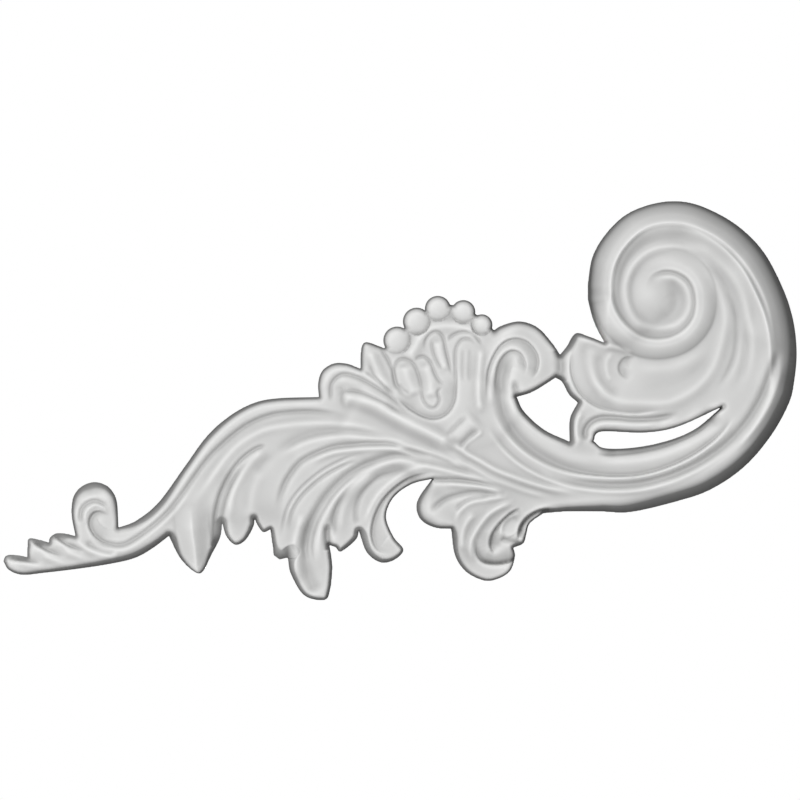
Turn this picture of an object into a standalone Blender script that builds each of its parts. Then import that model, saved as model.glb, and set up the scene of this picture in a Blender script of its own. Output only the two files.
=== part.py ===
"""Scroll onlay: one cast applique with an acanthus leaf, a shell with beads, and a broad stem that ends in
a large volute. The front is carved as heights on a board, which is then skinned as one closed body with a
flat back."""
import bpy
import numpy as np
from mathutils import Vector
from mathutils.geometry import delaunay_2d_cdt

NAME = "scroll_onlay"
COLOUR = (0.8, 0.8, 0.79, 1.0)
ROUGHNESS = 0.5

# Fineness of the board and of the body's faces.
BOARD_PITCH = 0.45
EDGE_STEP = 0.9
RINGS = (0.0, 0.55, 1.3)
SURFACE_STEP = 1.05
BUSY = 0.0
TRIANGLES = 9400
FLAT = 0.05

# Driving sizes. The onlay is drawn in millimetres at its full length, x to the right and z up from the
# middle of its outline, with heights from the flat back towards the front.
LENGTH = 357.5
DRAWN_LENGTH = 357.5
UNIT = 0.001 * LENGTH / DRAWN_LENGTH
HALF_BOARD = (182, 93)
SOFTNESS = 1.12
EDGE_REACH = 15.0

# Outline, clockwise from the tail tip. Each stretch is a smooth curve that meets the next at a corner, with
# how far its wall leans in and how wide its shoulder is rounded, spaced evenly along it.
OUTLINE = [
    # tail: three short lobes and a small volute
    ((1.2, 2, 1.4), (2,), [(-178.5, -72), (-177, -69.5), (-172, -69.4), (-167.7, -70.3)]),
    ((0.9, 1.2, 2.4, 1.8), (2,), [(-167.7, -70.3), (-167.6, -66), (-167, -62), (-162.5, -62.4),
                                  (-158, -63.7)]),
    ((1.2, 2.2, 1), (2,), [(-158, -63.7), (-157.5, -61.5), (-154.5, -59.5), (-150, -59.8), (-146, -60.8)]),
    ((1, 1.2, 2.4, 1, 0.5), (2.5,), [
        (-146, -60.8), (-147.7, -52), (-147.5, -45.5), (-146, -41.3), (-142.5, -38), (-137.5, -36.5),
        (-132.5, -37.8), (-129.2, -41), (-127.3, -46), (-126.7, -57)]),
    # upper edge of the leaf's stem
    ((2.6, 2.2, 1.6, 1.8, 1.2, 0.9), (2.5,), [
        (-126.7, -57), (-118.5, -53.7), (-108.5, -45.5), (-97, -29.7), (-87, -16), (-77, -7), (-66, -1),
        (-55, 1.2), (-36.5, 1.8)]),
    # upper curl and small upper leaf
    ((0.8,), (2.5,), [(-36.5, 1.8), (-36.8, 8), (-35, 13.5), (-30, 16.8), (-24, 16.8), (-17.7, 14.5)]),
    ((0.8,), (2,), [(-17.7, 14.5), (-17.7, 20), (-17, 25), (-14.5, 26.4), (-7, 23.7)]),
    # behind the beads, small volute and bud
    ((0.7,), (2,), [(-7, 23.7), (-1, 30), (8, 38), (18, 43), (29, 42), (38, 36), (42.3, 31.8)]),
    ((1.1,), (3, 3, 2), [(42.3, 31.8), (46, 34), (54, 35.8), (62, 33), (68.5, 26), (72, 20.8)]),
    ((1.2, 0.8), (2,), [(72, 20.8), (75, 24.5), (79, 30.4), (85, 29), (92, 26.2)]),
    # large volute and the underside of the broad stem
    ((0.9,), (2, 4, 7, 10), [(92, 26.2), (87.5, 35), (84.8, 44.5), (84.5, 49)]),
    ((0.9, 0.8, 0.8, 1, 2.4, 4.2, 5, 4.8, 4.2, 4, 3.8, 2.6, 1.6),
     (10, 9.5, 10, 10, 9.5, 9, 8, 6, 4, 3.5, 3, 3, 2.5), [
        (84.5, 49), (84.7, 54), (86.7, 65), (92.5, 75), (102, 84), (115, 89), (128, 89.6),
        (140, 85.8), (153, 78), (164, 66.5), (172.5, 50), (178, 35), (178.5, 15), (175, -1), (167, -15.5),
        (155, -29.5), (140, -39.7), (125, -45), (104, -49.9), (90, -49.7), (75, -49.7), (64.5, -50.5)]),
    # lower leaf
    ((0.8, 0.8, 0.8, 2), (1.5,), [(64.5, -50.5), (58.5, -55), (56.8, -60), (55.5, -64), (51, -66)]),
    ((0.8, 0.7, 1, 1.5, 2.4), (1.5,), [
        (51, -66), (51.7, -70), (49.5, -76.5), (44, -80), (38, -80.8), (30, -77), (24.8, -69.5),
        (23, -57.5)]),
    ((1, 1.2, 1.5, 1), (2, 4.5, 4.5, 2), [
        (23, -57.5), (16, -57), (10, -54), (7.5, -49), (8.5, -43.5), (14.5, -35)]),
    # main leaf, from its hooked lobe leftwards
    ((0.7, 0.7, 0.7, 0.8, 1, 1.8, 3), (1.3,), [
        (14.5, -35), (5, -37.5), (-3, -43.5), (-6.3, -52), (-3, -61), (1.5, -67), (-3, -71.7), (-9, -72.5),
        (-15, -68), (-18.5, -58.5)]),
    ((1.8, 1.1), (1.3,), [(-18.5, -58.5), (-20, -62.5), (-26.5, -67.7), (-29, -65.8), (-31.8, -64.8)]),
    ((0.8, 0.8, 1.1, 1.5, 3), (1.5,), [
        (-31.8, -64.8), (-30.9, -70), (-30.5, -76), (-31.5, -85), (-34, -89.5), (-43, -87.5), (-49, -78),
        (-50.5, -70.5)]),
    ((6.5, 2.2, 1.8, 1.8), (1,), [(-50.5, -70.5), (-56, -71), (-57.3, -65), (-58.3, -57.8)]),
    ((1.4,), (1,), [(-58.3, -57.8), (-61.5, -59), (-64, -56), (-65.5, -52.8)]),
    ((1.8, 1.2, 1, 2.2), (1.5,), [
        (-65.5, -52.8), (-66, -56.5), (-69.5, -62.5), (-74, -64.7), (-78, -61), (-80, -55)]),
    ((2.6, 2, 0.6, 0.7, 1.3, 3.2), (1.5,), [
        (-80, -55), (-81, -61.5), (-85, -69.5), (-89, -77), (-93, -76.5), (-99, -70.5), (-104, -60.7)]),
    # underside of the tail
    ((2.6, 3.2, 2.2, 2, 1.8, 1.2), (1.5,), [
        (-104, -60.7), (-111, -66), (-119, -70.5), (-130, -73.2), (-145, -75.5), (-160, -77.3),
        (-170, -78.2), (-176, -76), (-178.5, -72)]),
]

# Through gaps, drawn in the same way: between the small volute and the bud, and over the broad stem.
GAPS = [
    [
        ((0.8,), (2,), [(52.5, 1.8), (60, 4.3), (70, 10.5)]),
        ((1,), (2,), [(70, 10.5), (73, 8.5), (76, 3), (80, -0.7)]),
        ((0.9,), (2,), [(80, -0.7), (76.5, -8), (76.3, -18.3)]),
        ((1.6,), (2,), [(76.3, -18.3), (65, -13), (56, -5), (52.5, 1.8)]),
    ],
    [
        ((0.9,), (1.8,), [(87, -18), (90.5, -13.8), (110, -14.2), (125, -11.5), (145, -2.5)]),
        ((0.8,), (1.5,), [(145, -2.5), (133, -12.5), (120, -18), (105, -21), (92, -21.2), (87, -18)]),
    ],
]

# Beads over the shell: middle x, middle z, radius.
BEADS = [(-1.3, 27.3, 6.2), (7.5, 35.8, 6.2), (17, 41.5, 5.8), (28.5, 40, 5.4), (36.8, 34.2, 4.8)]
BEAD_FOOT = 8.4
BEAD_RISE = 3.4

# Spot heights of the front before the carving: x, z, height.
SPOTS = [
    (-172, -74, 4.5), (-160, -70, 6), (-148, -68, 7), (-137, -45, 8), (-130, -54, 6), (-125, -68, 8.5),
    (-108, -56, 9.5), (-95, -40, 11), (-80, -18, 11), (-60, -4, 10.5), (-40, -1, 10), (-92, -62, 9.5),
    (-91, -74, 7.5), (-70, -45, 10), (-74, -62, 7), (-60, -40, 10.5), (-60, -56, 7.5), (-50, -65, 8.5),
    (-40, -86, 7), (-45, -45, 10.5), (-30, -30, 11.5), (-26, -64, 7.5), (-18, -55, 9), (-8, -70, 7),
    (0, -60, 8.5), (0, -45, 9.5), (-10, -10, 13), (10, -15, 14.5), (20, -30, 14.5), (40, -35, 15),
    (-30, 8, 9.5), (-15, 22, 9.5), (-5, 5, 12), (0, 25, 9), (15, 38, 9), (32, 38, 9), (5, 15, 12),
    (15, 25, 12.5), (28, 25, 13), (20, 3, 14.5), (32, -5, 16), (50, 20, 14), (65, 28, 11.5),
    (60, -25, 14.5), (80, -35, 14.5), (100, -37, 14.5), (120, -32, 14.5), (140, -22, 15), (160, -5, 16),
    (170, 15, 17), (172, 35, 18), (112, 8, 14), (90, 15, 12.8), (112, -1, 14.4), (110, -10, 12.5),
    (85, -10, 12), (130, 14, 14.6), (148, 18, 15.6), (152, 45, 16.6), (95, 35, 17.5), (88, 50, 17.5),
    (95, 70, 18), (115, 82, 18.5), (140, 75, 18.5), (160, 55, 18.5), (115, 48, 16.2), (108, 62, 16),
    (125, 65, 16.2), (140, 60, 17), (135, 35, 15.8), (115, 19, 13.4), (100, 16, 13.2), (15, -50, 10),
    (30, -45, 13), (45, -46, 13), (40, -60, 10.5), (40, -77, 7.5), (55, -60, 8.5), (62, -47, 13),
    (110, -46, 12),
]
SPOT_SPREAD = 9.0

# Large volute: its crest winds in to the eye, given as turn in degrees and radius about the eye. Along the
# crest, from the outside inwards, it rises above the field and falls off outwards and inwards.
VOLUTE_MIDDLE = (114.5, 47.5)
VOLUTE_CREST = [(-31, 64.8), (-21, 57.3), (-6, 50.8), (10, 45.2), (30, 40.3), (50, 36.7), (72, 34),
                (96, 30.8), (121, 26.2), (149, 22.4), (173, 20.4), (199, 19.6), (226, 19.4), (251, 20),
                (277, 20.4), (302, 20.7), (327, 20.2), (351, 18.7), (381, 17.1), (405, 14.8), (433, 12),
                (462, 9.2), (498, 6)]
VOLUTE_ALONG = [0, 0.12, 0.28, 0.45, 0.58, 0.7, 0.8, 0.9, 1]
VOLUTE_RISE = [0.3, 1.8, 3.2, 3.6, 4.2, 4.2, 3.6, 2.6, 1.0]
VOLUTE_OUTWARDS = [8, 9.5, 12, 12, 8.5, 8.5, 8.5, 9.5, 8]
VOLUTE_INWARDS = [8, 9, 9, 7.5, 7, 6.5, 5, 3, 2]
EYE_MIDDLE = (112.5, 47)
EYE_RADIUS = 12.5
EYE_RISE = 2.6


def smooth(points, spacing=0.5):
    """Smooth curve through the points, at an even spacing: between two points it is a cubic whose slope at
    each end is half the step between the points on either side."""
    p = np.asarray(points, float)
    q = np.vstack([2 * p[0] - p[1], p, 2 * p[-1] - p[-2]])
    t = np.linspace(0, 1, 24, endpoint=False)[:, None]
    spans = []
    for a, b, c, d in zip(q[:-3], q[1:-2], q[2:-1], q[3:]):
        bend = (2 * a - 5 * b + 4 * c - d) * t**2 + (3 * b - a - 3 * c + d) * t**3
        spans.append(0.5 * (2 * b + (c - a) * t + bend))
    curve = np.vstack(spans + [p[-1:]])
    run = np.concatenate([[0], np.cumsum(np.hypot(*np.diff(curve, axis=0).T))])
    at = np.linspace(0, run[-1], max(int(round(run[-1] / spacing)), 3) + 1)
    return np.column_stack([np.interp(at, run, curve[:, 0]), np.interp(at, run, curve[:, 1])])


def beside(points, first, last, part=(0, 1)):
    """The part of the curve through the points that lies between two fractions of its length, moved to its
    left by an amount that goes evenly from the first to the last."""
    line = smooth(points)
    ahead = np.gradient(line, axis=0)
    ahead /= np.hypot(ahead[:, 0], ahead[:, 1])[:, None]
    away = np.linspace(first, last, len(line))[:, None]
    moved = line + away * np.column_stack([-ahead[:, 1], ahead[:, 0]])
    return moved[int(part[0] * len(line)):int(part[1] * len(line))][::6]


def ease(t):
    """Rises from 0 to 1 with level ends."""
    t = np.clip(t, 0, 1)
    return t * t * (3 - 2 * t)


def blur(field, spread):
    """The field averaged under a bell curve whose spread is in board cells, first across and then up."""
    reach = int(3 * spread)
    bell = np.exp(-0.5 * (np.arange(-reach, reach + 1) / spread) ** 2)
    bell /= bell.sum()
    for axis in (0, 1):
        size = field.shape[axis]
        padded = np.pad(field, [(reach, reach) if k == axis else (0, 0) for k in (0, 1)], mode="edge")
        field = sum(np.take(padded, range(k, k + size), axis=axis) * w for k, w in enumerate(bell))
    return field


class Front:
    """The front's height on a square board, with the tools that carve it."""

    def __init__(self, pitch):
        self.pitch = pitch
        self.x = np.arange(-HALF_BOARD[0], HALF_BOARD[0] + pitch, pitch)
        self.z = np.arange(-HALF_BOARD[1], HALF_BOARD[1] + pitch, pitch)
        self.across, self.up = np.meshgrid(self.x, self.z)
        self.height = self.spot_heights()

    def spot_heights(self):
        """The mean of the spot heights, each weighted by a bell curve with a long low tail."""
        total = np.zeros_like(self.across)
        weight = np.zeros_like(self.across)
        for x, z, height in SPOTS:
            square = (self.across - x) ** 2 + (self.up - z) ** 2
            w = np.exp(-square / SPOT_SPREAD**2) + 1 / (square + 30) ** 1.5
            total += w * height
            weight += w
        return total / weight

    def nearest(self, line, reach):
        """For each cell within reach, the squared distance to the line and the nearest point's number."""
        square = np.full(self.across.shape, float(reach) ** 2)
        who = np.full(self.across.shape, -1)
        cells = int(np.ceil(reach / self.pitch)) + 1
        for k, (x, z) in enumerate(line):
            i = int(round((x - self.x[0]) / self.pitch))
            j = int(round((z - self.z[0]) / self.pitch))
            window = slice(max(j - cells, 0), j + cells + 1), slice(max(i - cells, 0), i + cells + 1)
            here = (self.across[window] - x) ** 2 + (self.up[window] - z) ** 2
            nearer = here < square[window]
            square[window][nearer] = here[nearer]
            who[window][nearer] = k
        return square, who

    def trace(self, line, reach):
        """The cells within reach of the line, with their distance to its left, the fraction of its length
        that they lie beside, and their plain distance."""
        square, who = self.nearest(line, reach)
        cells = who >= 0
        near = who[cells]
        ahead = np.gradient(line, axis=0)
        ahead /= np.hypot(ahead[:, 0], ahead[:, 1])[:, None]
        dx = self.across[cells] - line[near, 0]
        dz = self.up[cells] - line[near, 1]
        left = ahead[near, 0] * dz - ahead[near, 1] * dx
        spacing = np.hypot(*(line[1] - line[0]))
        run = near * spacing + ahead[near, 0] * dx + ahead[near, 1] * dz
        return cells, left, run / ((len(line) - 1) * spacing), np.sqrt(square[cells])

    def cut(self, shape, reach, points, ends):
        """Adds a shape of the distance to the left of the curve, faded in and out over its ends."""
        cells, left, along, distance = self.trace(smooth(points), reach)
        fade = ease(along / ends[0]) * ease((1 - along) / ends[1]) * ease((reach - distance) / 1.5)
        self.height[cells] += fade * shape(left)

    def ridge(self, width, rise, points, ends=(0.2, 0.2)):
        """A rounded ridge, a bell curve across; a negative rise cuts a groove."""
        wide = width * SOFTNESS
        self.cut(lambda left: rise * np.exp(-(left / wide) ** 2), 2.6 * wide + 1.5, points, ends)

    def groove(self, width, depth, points, ends=(0.2, 0.2)):
        """A rounded groove."""
        self.ridge(width, -depth, points, ends)

    def roof(self, width, rise, points, ends=(0.2, 0.2)):
        """A sharp crest between two even slopes."""
        self.cut(lambda left: rise * np.clip(1 - np.abs(left) / width, 0, 1), width, points, ends)

    def step(self, width, depth, points, ends=(0.2, 0.2)):
        """A steep drop just left of the curve, from which the front rises back over twice the width."""
        wide = width * SOFTNESS

        def shape(left):
            return -depth * ease(left + 0.3) * np.clip(1 - (left - 1) / (2 * wide), 0, 1) ** 2

        self.cut(shape, 2.2 * wide + 1.5, points, ends)


def tail(front):
    """The tail: creases of its three lobes, and a small volute with a scooped eye."""
    front.groove(0.9, 1.2, [(-144, -56), (-143.2, -49), (-140, -45.6), (-136, -45), (-131, -48)])
    front.ridge(0.9, 0.9, [(-141, -56), (-141.3, -51), (-139, -47.8), (-135.5, -46.8), (-131, -49.5)])
    front.step(2.8, 3.2, [(-129.5, -51), (-135.5, -49.2), (-139, -50.8), (-140.2, -55.5), (-137.5, -60.5),
                          (-132, -63)], ends=(0.3, 0.25))
    front.groove(1.5, 0.9, [(-168, -63), (-160, -67.5), (-150, -72)])
    front.groove(1.5, 1.0, [(-157, -60.5), (-150, -65), (-142, -68.5)])
    front.ridge(1.6, 1.2, [(-148, -62), (-141, -66), (-133, -68.7), (-126, -70)])
    front.groove(1.3, 0.9, [(-140, -64), (-135, -66.5), (-128, -68.5)])
    front.groove(1.2, 1.0, [(-178, -71), (-170, -72.8), (-160, -74.5)])


def top_band(front):
    """The groove from the tail along the leaf's upper edge, and the crest below it."""
    line = [(-140, -58), (-137, -62), (-130, -64.2), (-121, -63), (-104, -49.5), (-88, -28), (-80, -19.5),
            (-70, -11.5), (-60, -6.8), (-50, -5), (-37, -4.8), (-22, -7)]
    front.groove(1.15, 1.3, line, ends=(0.05, 0.15))
    front.ridge(1.2, 0.5, beside(line, -2.2, -2.2, (0.03, 0.4)))
    crest = [(-94, -50), (-86, -36.5), (-75, -21.8), (-63, -13.6), (-50, -10.6), (-36, -9.8), (-20, -11.3),
             (-6, -15.3), (8, -21.5)]
    front.ridge(1.9, 0.9, crest)
    front.groove(2.8, 1.1, beside(crest, 4.2, 2.2, (0, 0.72)))


def left_lobes(front):
    """The two lobes at the left of the main leaf and the double groove between them."""
    front.roof(8.5, 4.2, [(-93.8, -46), (-93.2, -58), (-92, -67), (-90.8, -80)], ends=(0.35, 0.02))
    front.groove(4.5, 1.4, [(-88, -34), (-86.8, -55), (-86, -82)], ends=(0.55, 0.02))
    line = [(-59.5, -19.6), (-65, -21.6), (-71, -26), (-76, -32.3), (-80, -40), (-82.5, -48), (-83.5, -56),
            (-83.5, -66)]
    front.groove(0.9, 1.2, line, ends=(0.08, 0.03))
    front.groove(0.9, 0.9, beside(line, 2.2, 3.4, (0.2, 1)), ends=(0.25, 0.03))
    front.groove(2.3, 3.2, beside(line, 1.2, 1.7, (0.3, 1)), ends=(0.3, 0.03))
    front.ridge(1.8, 1.3, [(-60, -21.8), (-66, -26.5), (-71, -33.5), (-75.5, -42), (-77.3, -55)],
                ends=(0.12, 0.2))
    front.groove(1.8, 0.5, [(-54.5, -22), (-60, -27), (-65, -33.5), (-68.5, -42), (-69.3, -52)])
    front.ridge(2.6, 0.6, [(-62, -30), (-66, -38), (-67.2, -46), (-66.5, -54)])


def leaf_flutes(front):
    """The flutes of the main leaf, which all run out from its root under the shell."""
    crest = [(-56, -27), (-49, -21.7), (-41, -18), (-32, -16.2), (-22, -15.8), (-12, -16.9), (-2, -19),
             (12, -25)]
    front.ridge(1.7, 1.1, crest)
    front.groove(2.6, 1.2, beside(crest, 2.2, 1.8, (0, 0.85)))
    line = [(14, -25), (-2, -19.6), (-12, -19), (-22, -19.6), (-30, -20.6), (-38, -23.5), (-45, -27.7),
            (-51, -35), (-55, -46), (-57.3, -58)]
    front.groove(1.3, 1.6, line, ends=(0.15, 0.05))
    front.ridge(1.2, 1.1, beside(line, 2.1, 2.8, (0, 0.68)))
    line = [(-18, -23.8), (-25, -26), (-35, -31.2), (-45, -39.7), (-51, -49), (-53.5, -57)]
    front.groove(0.6, 0.7, line)
    front.groove(0.8, 0.9, beside(line, 2.6, 2.6))
    deep = [(14, -26.5), (4, -24.3), (-3, -24.5), (-12, -27), (-22, -32), (-31, -40), (-37, -48.5),
            (-41, -57), (-42.7, -66), (-41.5, -76)]
    front.groove(1.9, 2.2, deep, ends=(0.12, 0.15))
    front.groove(0.8, 0.8, beside(deep, 1.5, 3.2, (0.35, 1)))
    front.ridge(1.8, 1.2, beside(deep, 2.4, 6.6, (0.12, 1)))
    front.groove(2.3, 2.9, [(-35, -47), (-40, -55.5), (-42, -63), (-42, -71), (-40.5, -79), (-37, -87)],
                 ends=(0.3, 0.1))
    front.ridge(2.2, 1.2, [(-43, -50), (-46.5, -60), (-47.5, -70), (-45, -82)])
    line = [(-5, -28.3), (-18, -34), (-26, -43), (-29.6, -52), (-29.3, -62)]
    front.groove(1.2, 0.9, line, ends=(0.35, 0.1))
    front.ridge(1.8, 0.7, beside(line, 3.4, 3.2, (0.12, 1)))
    front.groove(1.1, 0.7, [(5, -31), (-8, -33.6), (-16, -40), (-19.7, -48), (-19.4, -57)],
                 ends=(0.35, 0.1))
    front.groove(1.4, 4.5, [(-32.4, -55), (-33, -60), (-31.8, -67)], ends=(0.15, 0.05))
    fall = [(15, -31), (5, -33.7), (-3, -38.8), (-9, -45.5), (-12.5, -53.5), (-13.2, -61), (-10.5, -67),
            (-4, -69.5)]
    front.step(5.5, 2.6, fall, ends=(0.3, 0.15))
    front.ridge(1.5, 1.0, beside(fall, -2.1, -3, (0, 0.75)))


def leaf_shoulder(front):
    """The bright ridge between the main leaf and the shell, and the hollow under it."""
    ridge = [(-27, 1.5), (-20, 1.2), (-12, -1.5), (-5, -5.2), (5, -11), (13, -16), (21, -23)]
    front.ridge(3.3, 2.7, ridge, ends=(0.15, 0.2))
    front.groove(4.2, 0.6, beside(ridge, -5.5, -5.5))


def upper_lobes(front):
    """The curl above the leaf's stem and the small upright leaf beside the shell."""
    line = [(-31, -1), (-31, 6.5), (-29, 10), (-25.5, 11.9), (-20, 11), (-12, 7), (-5, 2.5), (2, -3)]
    front.groove(0.8, 0.9, line, ends=(0.1, 0.2))
    front.ridge(2.4, 1.1, beside(line, -2.9, -3, (0.12, 0.95)))
    front.ridge(2.2, 1.0, beside(line, 2.8, 3, (0.1, 0.8)))
    front.groove(0.8, 0.8, [(-28.5, 1.5), (-25.5, 3.9), (-21, 4.6), (-15, 3), (-6, -1.2), (2, -6.5)])
    front.groove(0.8, 1.0, [(-9.5, 24.5), (-6, 19.5), (-3.5, 14), (-2.5, 9), (-1, 4)])
    front.ridge(2.2, 1.3, [(-14.5, 24.5), (-12, 18), (-8.5, 11), (-4, 4)])
    front.groove(0.6, 0.6, [(-14.5, 17), (-12, 12), (-8, 7.5), (-4, 3.8)])
    front.groove(0.8, 0.8, [(-17, 14.5), (-13, 11.5), (-8, 7), (-2, 2)])


def shell(front):
    """The shell: a ledge under the beads, and domed petals outlined by fine creases."""
    front.ridge(2.8, 2.2, [(2, 18), (6, 23.5), (9, 29), (14, 33), (22, 34.2), (31, 32.8), (37, 28.5)],
                ends=(0.1, 0.15))
    for width, rise, middle in (
            (2.8, 1.3, [(2, 17), (3.5, 10), (7, 2)]),
            (2.6, 1.3, [(11, 17.5), (13, 10), (14, 1)]),
            (2.2, 1.2, [(16.5, 28), (18.3, 20), (20.5, 13)])):
        front.ridge(width, rise, middle)
    for depth, crease in (
            (0.8, [(5, 0), (1, 3), (-1.5, 8), (-2.7, 14), (-1, 18), (2, 18.9), (5.5, 17.2), (7.8, 13),
                   (9.3, 7), (9.6, 1)]),
            (0.8, [(7, 16.5), (7.6, 19), (10.5, 19.9), (13.5, 17.5), (15.8, 12), (18, 8.6), (21, 7.3)]),
            (0.8, [(9.3, 6), (10.2, 1), (12.6, -2.4), (15.6, -2.9), (17.6, 0), (17, 4), (19.5, 7)]),
            (0.9, [(10.8, 22.5), (11.6, 27.3), (14, 30.3), (16.8, 31), (19.3, 28.5), (20.8, 22),
                   (23.6, 10.5)]),
            (0.7, [(14.7, 28), (14.4, 24), (16, 18.5), (19.3, 13)]),
            (0.9, [(21, 26), (23, 29), (27.5, 30.9), (32, 30.2), (35, 27.7), (37, 24.5)]),
            (0.7, [(25, 8), (24.7, 18), (25.3, 24), (28, 27.6), (32, 27.5), (35, 25)]),
            (0.4, [(-0.8, 8), (1.5, 5), (4.5, 3)]),
            (0.3, [(28.3, 24), (28.2, 16), (28, 8)]),
            (0.3, [(31.5, 24.5), (31.2, 16), (31, 8)])):
        front.groove(0.7, depth, crease)
    front.ridge(1.8, 1.3, [(36.6, 25), (35.6, 15), (35.2, 2), (36.6, -6)], ends=(0.15, 0.15))
    front.step(4.5, 2.0, [(-2.5, 2), (4, -4), (11, -7.8), (17, -8.3), (22, -5.5), (25, 0), (25.8, 8),
                          (26, 16)],
               ends=(0.2, 0.25))


def collar(front):
    """The short bar that ties the shell to the stem."""
    bar = [(23.5, -18.5), (28, -13.5), (34, -8)]
    front.ridge(3.2, 2.0, bar, ends=(0.25, 0.25))
    front.groove(1.0, 1.6, beside(bar, -4.6, -4.6))
    front.groove(0.8, 0.8, beside(bar, 3.6, 3.6))


def small_volute(front):
    """The small volute: an outer roll, an inner ridge, and a scoop that runs on along the broad stem."""
    front.groove(1.9, 1.9, [(39, -4), (39.2, 6), (40.7, 15.5), (44.3, 22.8), (48.5, 26.4), (53, 27),
                            (57.5, 24.8), (60.8, 19.8), (60.7, 14), (58.3, 8)], ends=(0.2, 0.1))
    front.ridge(1.3, 0.7, [(41, -2), (41.4, 9), (42.8, 15.3), (45.6, 20.8), (49.4, 24), (53.3, 23.8),
                           (56.6, 19.5), (57.2, 14), (55, 9)], ends=(0.1, 0.1))
    front.groove(2.7, 3.4, [(53.6, 12), (53.6, 16.5), (51.5, 19.3), (48.5, 17.8), (46.4, 13.5), (45.3, 8),
                            (45.6, 0), (48, -8), (52.5, -15), (58.5, -20.8), (66, -25.8), (75, -29.8),
                            (86, -32), (100, -32.8)],
                 ends=(0.1, 0.35))
    front.groove(2.0, 2.6, [(71.5, 23), (72.2, 16), (72, 9)], ends=(0.05, 0.05))


def bud(front):
    """The bud right of the small volute, with the hooked tube that bridges down to the stem."""
    front.step(4.0, 1.3, [(77, 26), (76, 14), (79, 5), (84, -0.5), (92, -4.3), (105, -6), (118, -4.5)])
    hook = [(126, -5.5), (115, -7.8), (105, -8.2), (97, -7.5), (90, -7.6), (85.5, -9.7), (83.2, -13.5),
            (83.7, -18.5)]
    front.groove(1.0, 2.0, hook, ends=(0.2, 0.08))
    front.ridge(1.6, 1.4, beside(hook, 2.2, 3, (0.18, 0.95)))
    front.ridge(1.4, 1.2, [(82, -4), (79.3, -9), (79, -15), (81.5, -20)])
    front.groove(2.0, 0.5, [(82.5, 27), (82, 17), (85, 8), (91, 0.5)])
    front.groove(2.0, 0.5, [(89.5, 23), (89.5, 13), (93.5, 6), (100, 3)])


def broad_stem(front):
    """The lines of the broad stem, most of them beside one thin ridge that sweeps up to the volute."""
    lip = [(90, -21.2), (97, -21.5), (107, -20.8), (120, -18), (133, -12.3), (143, -4.5)]
    front.groove(3.1, 5.2, lip, ends=(0.12, 0.1))
    front.step(2.5, 1.1, beside(lip, -3.2, -2.2), ends=(0.12, 0.2))
    ridge = [(41, 0), (43.3, -8), (48.3, -15.7), (54, -21.7), (60, -26), (68, -30), (77, -32.8),
             (86, -34.3), (97, -35), (108, -34.3), (118, -31.7), (128, -27.5), (137, -22), (145, -15),
             (153, -4)]
    front.ridge(1.0, 0.9, ridge)
    front.step(4.5, 2.6, beside(ridge, 0.8, 0.9, (0.28, 0.98)), ends=(0.35, 0.2))
    front.ridge(1.1, 0.9, beside(ridge, -5.6, -5.6, (0.06, 0.9)))
    front.groove(1.4, 0.4, beside(ridge, -3.5, -3.5, (0.06, 0.32)))
    front.groove(1.9, 2.2, [(64, -31), (74, -35), (83, -36.8), (95, -37.6), (107, -36.9), (120, -33.8),
                            (131, -29.3), (140, -24), (147.5, -18), (155, -9.6), (160.6, -1), (164.7, 8),
                            (167.5, 16), (169.3, 24)],
                 ends=(0.2, 0.06))
    branch = [(31, -23), (36, -27), (43, -31), (51, -34.2), (60, -37.3), (70, -39.8), (84, -41.5)]
    front.ridge(1.1, 0.8, branch)
    front.ridge(1.1, 0.4, beside(branch, -4.3, -3.8, (0, 0.8)))
    front.ridge(1.3, 0.9, [(150, -22), (158, -13.5), (165, -3), (169.5, 8), (171.8, 18)])


def lower_leaf(front):
    """The leaf under the stem: soft flutes at its left, and a lobe that curls up at its right."""
    front.groove(1.0, 1.2, [(15, -35.3), (27, -35.6), (34, -36.3), (43, -38.5)])
    front.ridge(1.0, 0.9, [(19, -37), (30, -37.4), (38, -38.5), (47, -40.5)])
    front.groove(1.3, 1.3, [(13, -51), (17, -46.5), (22, -43.4), (29, -41.5), (36, -41), (45, -42.5)])
    front.groove(1.1, 0.9, [(24, -50), (28, -46.3), (33, -43.8), (41, -43)])
    front.ridge(1.2, 1.0, [(24, -56), (26.5, -49.7), (31, -45.8), (38, -44.2), (50, -42.8)])
    front.ridge(1.3, 0.9, [(28, -68), (28, -60), (30, -54.5), (34, -50)])
    front.ridge(1.4, 1.5, [(33, -73), (31.7, -66), (33, -60.5), (38, -53), (43, -48.7), (52, -44.5)])
    front.step(3.2, 6, [(33.6, -62), (34, -68.5), (37, -72.6), (43, -73.8), (49.5, -72.8), (56, -70.5)],
               ends=(0.5, 0.04))
    front.groove(3.4, 2.4, [(46.5, -58), (44.5, -62.5), (45.5, -67), (50, -69), (57, -69.5)],
                 ends=(0.3, 0.1))
    front.step(4.5, 3.2, [(54, -47.3), (49, -50.3), (44.5, -54.5), (41, -59.5), (40, -64.5), (42, -70)])
    front.ridge(1.0, 1.0, [(45.5, -62), (45.3, -57), (48, -52.7), (54, -50)])
    front.step(3.5, 4.4, [(70, -48), (63, -48.5), (57, -51.7), (53.5, -56.5), (52.5, -63)])
    front.groove(1.2, 1.2, [(45, -61), (49, -63), (55, -63.5)])


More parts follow.
